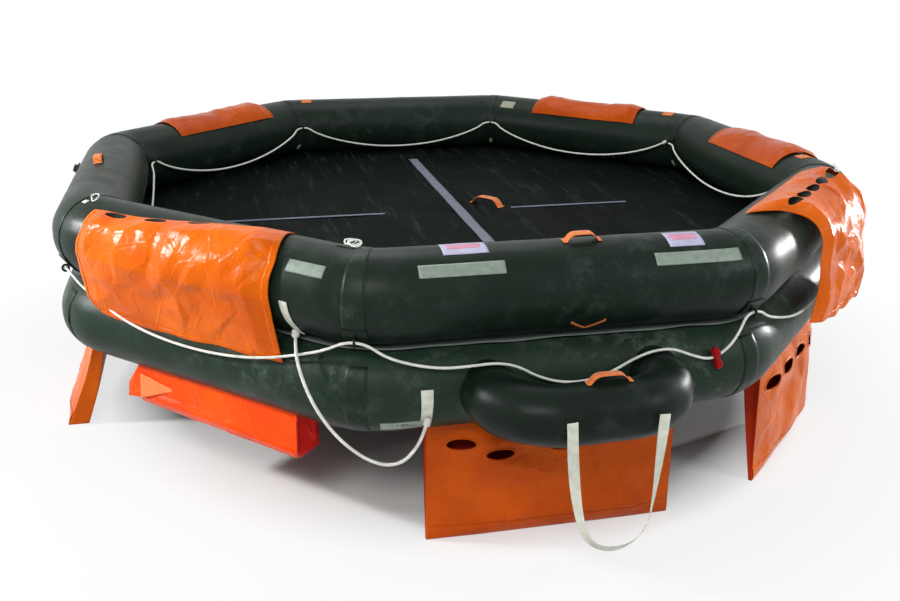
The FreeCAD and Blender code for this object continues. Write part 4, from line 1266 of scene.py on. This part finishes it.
def handles(mats):
    mat = mats["orange_strap"]
    for side, along, half in (("front", 0.098, 0.066), ("left", 0.012, 0.060)):
        angle = radians(84)
        strap_loop(side + "_tube_handle_strap",
                   tube_point(side_s(side, along), angle, 0.0, True),
                   spin(side) @ Vector((0, 1, 0)),
                   spin(side) @ Vector((cos(angle), 0, sin(angle))), half, 0.030,
                   0.044, mat, [side + "_tube_handle"])
    for name, lift, turn, half, rise, width in (("ramp_handle", 0.001, 0, 0.078, 0.031, 0.044),
                                                ("floor_handle", 0, -50, 0.096, 0.043, 0.056)):
        low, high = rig.box(name)
        spot = Vector(((low[0] + high[0]) / 2, (low[1] + high[1]) / 2, low[2] + lift))
        turn = radians(turn)
        strap_loop(name + "_strap", spot, Vector((cos(turn), sin(turn), 0)), UP,
                   half, rise, width, mat, [name])


def ribbon(name, path, width, lift, thickness, mat, nodes=()):
    """A narrow strap lying on the upper tube along runs of (along the front side, theta)."""
    def point(u, v, extra):
        k = min(int(u * (len(path) - 1)), len(path) - 2)
        f = u * (len(path) - 1) - k
        a, t = (path[k][n] * (1 - f) + path[k + 1][n] * f for n in (0, 1))
        return tube_point(side_s("front", a), radians(t) + (v - 0.5) * width / TUBE_R,
                          lift + extra, True)

    return shell(name, 24 * (len(path) - 1), 4, point, thickness, mat, "orange_cloth", nodes)


def tied_loop(name, side, along, theta, size, thick, mats):
    """A short piece of rope tied in a standing loop on the tube's skin."""
    s, theta = side_s(side, along), radians(theta)
    foot = tube_point(s, theta, 0.0, True)
    normal = (tube_point(s, theta, 0.01, True) - foot).normalized()
    ahead = (tube_point(s + 0.01, theta, 0.0, True) - foot).normalized()
    side = normal.cross(ahead)
    path = []
    for a in (pi * (1.5 + 2 * n / 40) for n in range(41)):
        path.append(foot + ahead * (size * 1.35 * cos(a)) + normal * (
            thick * 0.7 + size * 0.55 * (1 + sin(a))) + side * (
            size * 0.9 * (1 + sin(a)) + thick * 1.5 * sin(2 * a)))
    around = 10
    mesh_piece(name, rings_along(path, around, lambda k, a: thick),
               wall(len(path), around) + ends(len(path), around), mats["rope"], "rope")


def small_fittings(mats):
    """The V strap, ties, loops and patches; most are trim without a node of their own."""
    ribbon("front_v_strap_web", [(0.022, -34), (0.095, -52), (0.168, -34)], 0.013, 0.0006,
           0.0030, mats["orange_strap"], ["front_v_strap"])
    ribbon("front_v_strap_edge", [(0.020, -36.5), (0.095, -55), (0.170, -36.5)], 0.005, 0.0004,
           0.0022, mats["lining"])
    skin_patch("lacing_pad", "front_left", 0.700, 0.084, 112, 22, 0.0022, mats["band"],
               "cream_webbing", nodes=["lacing_patch"])
    for k, (shift, theta) in enumerate(((-0.018, 104), (0.014, 100), (0.030, 95))):
        tied_loop("lacing_tie_%d" % k, "front_left", 0.700 + shift, theta, 0.018, 0.0042, mats)
    tied_loop("left_tube_tie_0", "left", 0.860, 76, 0.017, 0.0036, mats)
    skin_patch("left_tube_tie_foot", "left", 0.835, 0.026, 74, 7, 0.003, mats["webbing"],
               "cream_webbing")
    tied_loop("right_tube_tie", "front_right", 0.690, 60, 0.022, 0.0050, mats)
    skin_patch("back_square_patch", "back_right", 0.604, 0.110, 138, 20, 0.0020,
               mats["pale_patch"], "reflective_tape")
    for k, (side, along, theta) in enumerate((("back", 0.647, 97), ("right", -0.600, 90),
                                              ("back_right", -0.610, 96))):
        skin_patch("small_orange_patch_%d" % k, side, along, 0.075, theta + 14, 22, 0.0024,
                   mats["orange_strap"], "orange_cloth")


def tow_tabs(mats):
    """Webbing tabs that carry the tow bridle, each with an eye at its free end."""
    def upper_tab(u, v, lift):
        along = 0.540 + (u - 0.5) * (0.040 - 0.012 * v) + 0.018 * v
        off = 0.0010 + 0.014 * max(0.0, v - 0.72) ** 0.8
        return tube_point(side_s("front_left", along), radians(-2 - 56 * v), off + lift,
                          True)

    def lower_tab(u, v, lift):
        along = -0.566 + (u - 0.5) * (0.050 - 0.006 * v)
        return tube_point(side_s("front", along), radians(14 - 43 * v), 0.0010 + lift,
                          False)

    for name, rows, tab, eye in (("upper", 48, upper_tab, 0.86), ("lower", 40, lower_tab, 0.90)):
        shell("tow_patch_%s_tab" % name, 16, rows, tab, 0.0032, mats["webbing"],
              "cream_webbing", ["tow_patch_" + name], [(0.5, eye, 0.17, 0.035)])


def floor_straps(mats):
    """Flat straps laid on the floor, with slightly wavy edges."""
    for name, node, lengthwise, cells, first, last in (
            ("floor_long_strap_web", "floor_long_strap", True, (140, 6), None, None),
            ("floor_cross_strap_right_web", "floor_cross_straps", False, (90, 4), 0.375, None),
            ("floor_cross_strap_left_web", "floor_cross_straps", False, (90, 4), None, -0.380)):
        low, high = (Vector(corner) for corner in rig.box(node))
        if first is not None:
            low.x = AXIS.x + first
        if last is not None:
            high.x = AXIS.x + last

        def point(u, v, lift):
            if lengthwise:
                v = 1 - v
            wave = 0.003 * waves(u * 9, v * 9, 3.0)
            x = low.x + (high.x - low.x) * (v if lengthwise else u) + (
                wave if lengthwise else 0)
            y = low.y + (high.y - low.y) * (u if lengthwise else v) + (
                0 if lengthwise else wave)
            end = u if lengthwise else v
            return Vector((x, y, low.z + 0.0045 + lift + 0.0012 * sin(end * 40)))

        shell(name, *cells, point, PLY, mats["strap"], "blue_grey_webbing", [node])


def rim_details(mats):
    """Patches under each corner of the inner lifeline."""
    for k in range(8):
        for name, theta, width, sweep, mat in (("eye", 183, 0.060, 26, "band"),
                                               ("foot", 222, 0.045, 14, "pale_patch")):
            def point(u, v, lift):
                return tube_point(corner_s(k) + (u - 0.5) * width,
                                  radians(theta - sweep / 2 + sweep * v), 0.0008 + lift,
                                  True)
            shell("inner_%s_patch_%d" % (name, k), 8, 12, point, 0.0024, mats[mat],
                  "tube_rubber")


# ---------------------------------------------------------------- stage and light

def stage():
    """A wide pale floor, white to the camera; under the raft the glow fades out in a set circle, a painted shadow that
    deepens the raft's own shadow there.
    """
    own = Finish("studio_floor")
    own.surface((0.80, 0.80, 0.80), 0.9, 0.0)
    away = own.add("VectorMath", operation="LENGTH", Vector=own.at).outputs["Value"]
    # the glow's share: none within 1.6 m of the raft's axis, 0.75 from 1.98 m, full from 3.4 m; the circle without
    # glow is a painted shadow
    white = own.times(own.span(away, 0.75, 1.0, 2.1, 3.4),
                     own.span(away, 0.0, 1.0, 1.60, 1.98))
    own.mix(own.times(own.shown_white(), white), own.shader,
            own.add("Emission", Color=(1, 1, 1), Strength=1.0),
            own.tree.nodes["Material Output"])
    mesh = bpy.data.meshes.new("studio_floor")
    far = 60.0
    mesh.from_pydata([(-far, -far, 0), (far, -far, 0), (far, far, 0), (-far, far, 0)], [],
                     [(0, 1, 2, 3)])
    mesh.materials.append(own.mat)
    ground = bpy.data.objects.new("studio_floor", mesh)
    bpy.context.scene.collection.objects.link(ground)
    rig.stage(ground)


def lamp(name, spot, aim, size, power, color=(1, 1, 1), spread=180):
    data = bpy.data.lights.new(name, "AREA")
    data.shape = "RECTANGLE"
    data.size, data.size_y = size
    data.energy = power
    data.color = color
    data.spread = radians(spread)
    made = bpy.data.objects.new(name, data)
    bpy.context.scene.collection.objects.link(made)
    made.location = AXIS + Vector(spot)
    made.rotation_euler = (AXIS + Vector(aim) - made.location).to_track_quat("-Z", "Y").to_euler()


def lights():
    """A white background, a dim sky and soft lamps, two of them like windows at the sides."""
    world = bpy.data.worlds.new("studio")
    bpy.context.scene.world = world
    world.use_nodes = True
    world.node_tree.nodes.clear()
    sky = Nodes(world.node_tree)
    sky.mix(sky.shown_white(), sky.add("Background", Color=(0.95, 0.98, 1.0), Strength=0.40),
            sky.add("Background", Color=(1, 1, 1), Strength=1.0), sky.add("OutputWorld"))
    raft = (0, 0, 0.8)
    lamp("key", (-3.0, -7.0, 6.0), raft, (3.0, 2.0), 300, (1, 0.99, 0.96))
    lamp("fill", (5.5, -6.0, 4.5), raft, (3.0, 2.0), 150, (0.96, 0.99, 1))
    lamp("top", (0.0, 2.5, 6.5), raft, (4.0, 3.0), 110)
    lamp("window_left", (-6.4, 0.1, 3.3), (-1.86, -1.04, 1.2), (0.60, 0.34), 44, spread=60)
    lamp("window_right", (5.7, 0.4, 1.35), (1.16, -1.77, 1.18), (0.22, 0.60), 17, spread=60)
    bpy.context.scene.view_settings.view_transform = "Standard"


def make_materials():
    cloth, plain, rubber, webbing = (cloth_material, plain_material, rubber_material,
                                     webbing_material)
    return {
        "rubber": rubber("coated_rubber", 0.35),
        # the lower tube: the same rubber with more scuffs and a base colour 1.7 times as light
        "dusty_rubber": rubber("dusty_coated_rubber", 1.0, 1.7),
        "floor": floor_material(),
        "ramp_rubber": rubber("ramp_coated_rubber", 0.3, 0.7),
        "band": rubber("seam_cloth", 0.8, 1.3),
        "lip": plain("floor_edge", (0.16, 0.19, 0.175), 0.55),
        "orange": cloth("orange_cloth", (0.56, 0.084, 0.0010), (0.78, 0.146, 0.0018)),
        # painted shade: the orange cloth made darker, for the far upper pockets and the front lower pocket
        "orange_low": cloth("shaded_orange_cloth", (0.42, 0.052, 0.0008),
                            (0.60, 0.092, 0.0012)),
        # deep red: painted shade on the lower pockets' inner plies and end gussets; also the V strap's edge
        "lining": cloth("red_lining", (0.34, 0.016, 0.001), (0.50, 0.034, 0.002), 0.4),
        "red_orange": cloth("red_orange_cloth", (0.78, 0.045, 0.001), (0.92, 0.085, 0.002)),
        # painted highlight: a paler red-orange for the folded corner that faces up
        "pale_fold": cloth("pale_red_orange_cloth", (0.80, 0.16, 0.035), (0.95, 0.24, 0.07),
                           gloss=0.3),
        "marker": cloth("marker_cloth", (0.16, 0.002, 0.003), (0.34, 0.006, 0.008)),
        # painted shade: deep red for the folded bundle's end face
        "end_red": cloth("red_cloth", (0.50, 0.004, 0.002), (0.66, 0.010, 0.003), 0.4, 0.25),
        "webbing": webbing("cream_webbing", (0.50, 0.52, 0.43), (0.66, 0.67, 0.58)),
        "strap": webbing("blue_grey_webbing", (0.050, 0.070, 0.105), (0.085, 0.112, 0.160)),
        "orange_strap": webbing("orange_webbing", (0.62, 0.12, 0.006), (0.82, 0.20, 0.012)),
        "rope": webbing("rope_yarn", (0.62, 0.63, 0.58), (0.84, 0.85, 0.80), 500.0),
        "tape": tape_material(),
        "pale_patch": plain("pale_patch", (0.40, 0.40, 0.30), 0.6),
        "panel": plain("blank_panel", (0.50, 0.48, 0.66), 0.5),
        "panel_field": plain("blank_panel_field", (0.66, 0.30, 0.42), 0.5),
        "paint": plain("cylinder_paint", (0.30, 0.32, 0.33), 0.42),
        "brass": plain("valve_brass", (0.62, 0.46, 0.20), 0.32, 1.0),
        "hose": plain("hose_rubber", (0.02, 0.02, 0.02), 0.5),
        "plastic": plain("valve_plastic", (0.03, 0.03, 0.03), 0.45),
    }


def finish_cad_nodes(mats):
    """Materials of the nodes whose solids stay in view."""
    by_slot = {"tube_rubber": "rubber", "floor_cloth": "floor", "orange_cloth": "orange",
               "red_orange_cloth": "red_orange", "reflective_tape": "tape",
               "panel_cloth": "panel", "cream_webbing": "webbing",
               "blue_grey_webbing": "strap", "rope": "rope", "cylinder_paint": "paint",
               "valve_brass": "brass", "hose_rubber": "hose", "valve_plastic": "plastic"}
    for row in frame["record"]["subparts"]:
        piece = frame["nodes"][row["node"]]
        if not isinstance(piece, bpy.types.Object):
            piece = bpy.data.objects[row["node"]]
        for slot in piece.material_slots:
            slot.material = mats[by_slot[row["material_slot"]]]


def main():
    camera()
    mats = make_materials()
    ropes(mats)
    boarding_step(mats)
    for build in (buoyancy_tube, seam_bands):
        for name in ("upper", "lower"):
            build(name, mats)
    crease_lip(mats)
    raft_floor(mats)
    boarding_ramp(mats)
    ramp_deck(mats)
    for side in DRAPED:
        draped_pocket(side, mats)
    for side in HUNG:
        hung_pocket(side, mats)
    for build in (folded_bundle, tapes_and_panels, handles, small_fittings, tow_tabs,
                  floor_straps, rim_details, finish_cad_nodes):
        build(mats)
    stage()
    lights()


main()
with open("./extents.json", "w") as out:
    json.dump({"cad": [list(map(float, corner)) for corner in cad_bounds],
               "visual": [list(map(float, corner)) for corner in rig.bounds()]}, out)
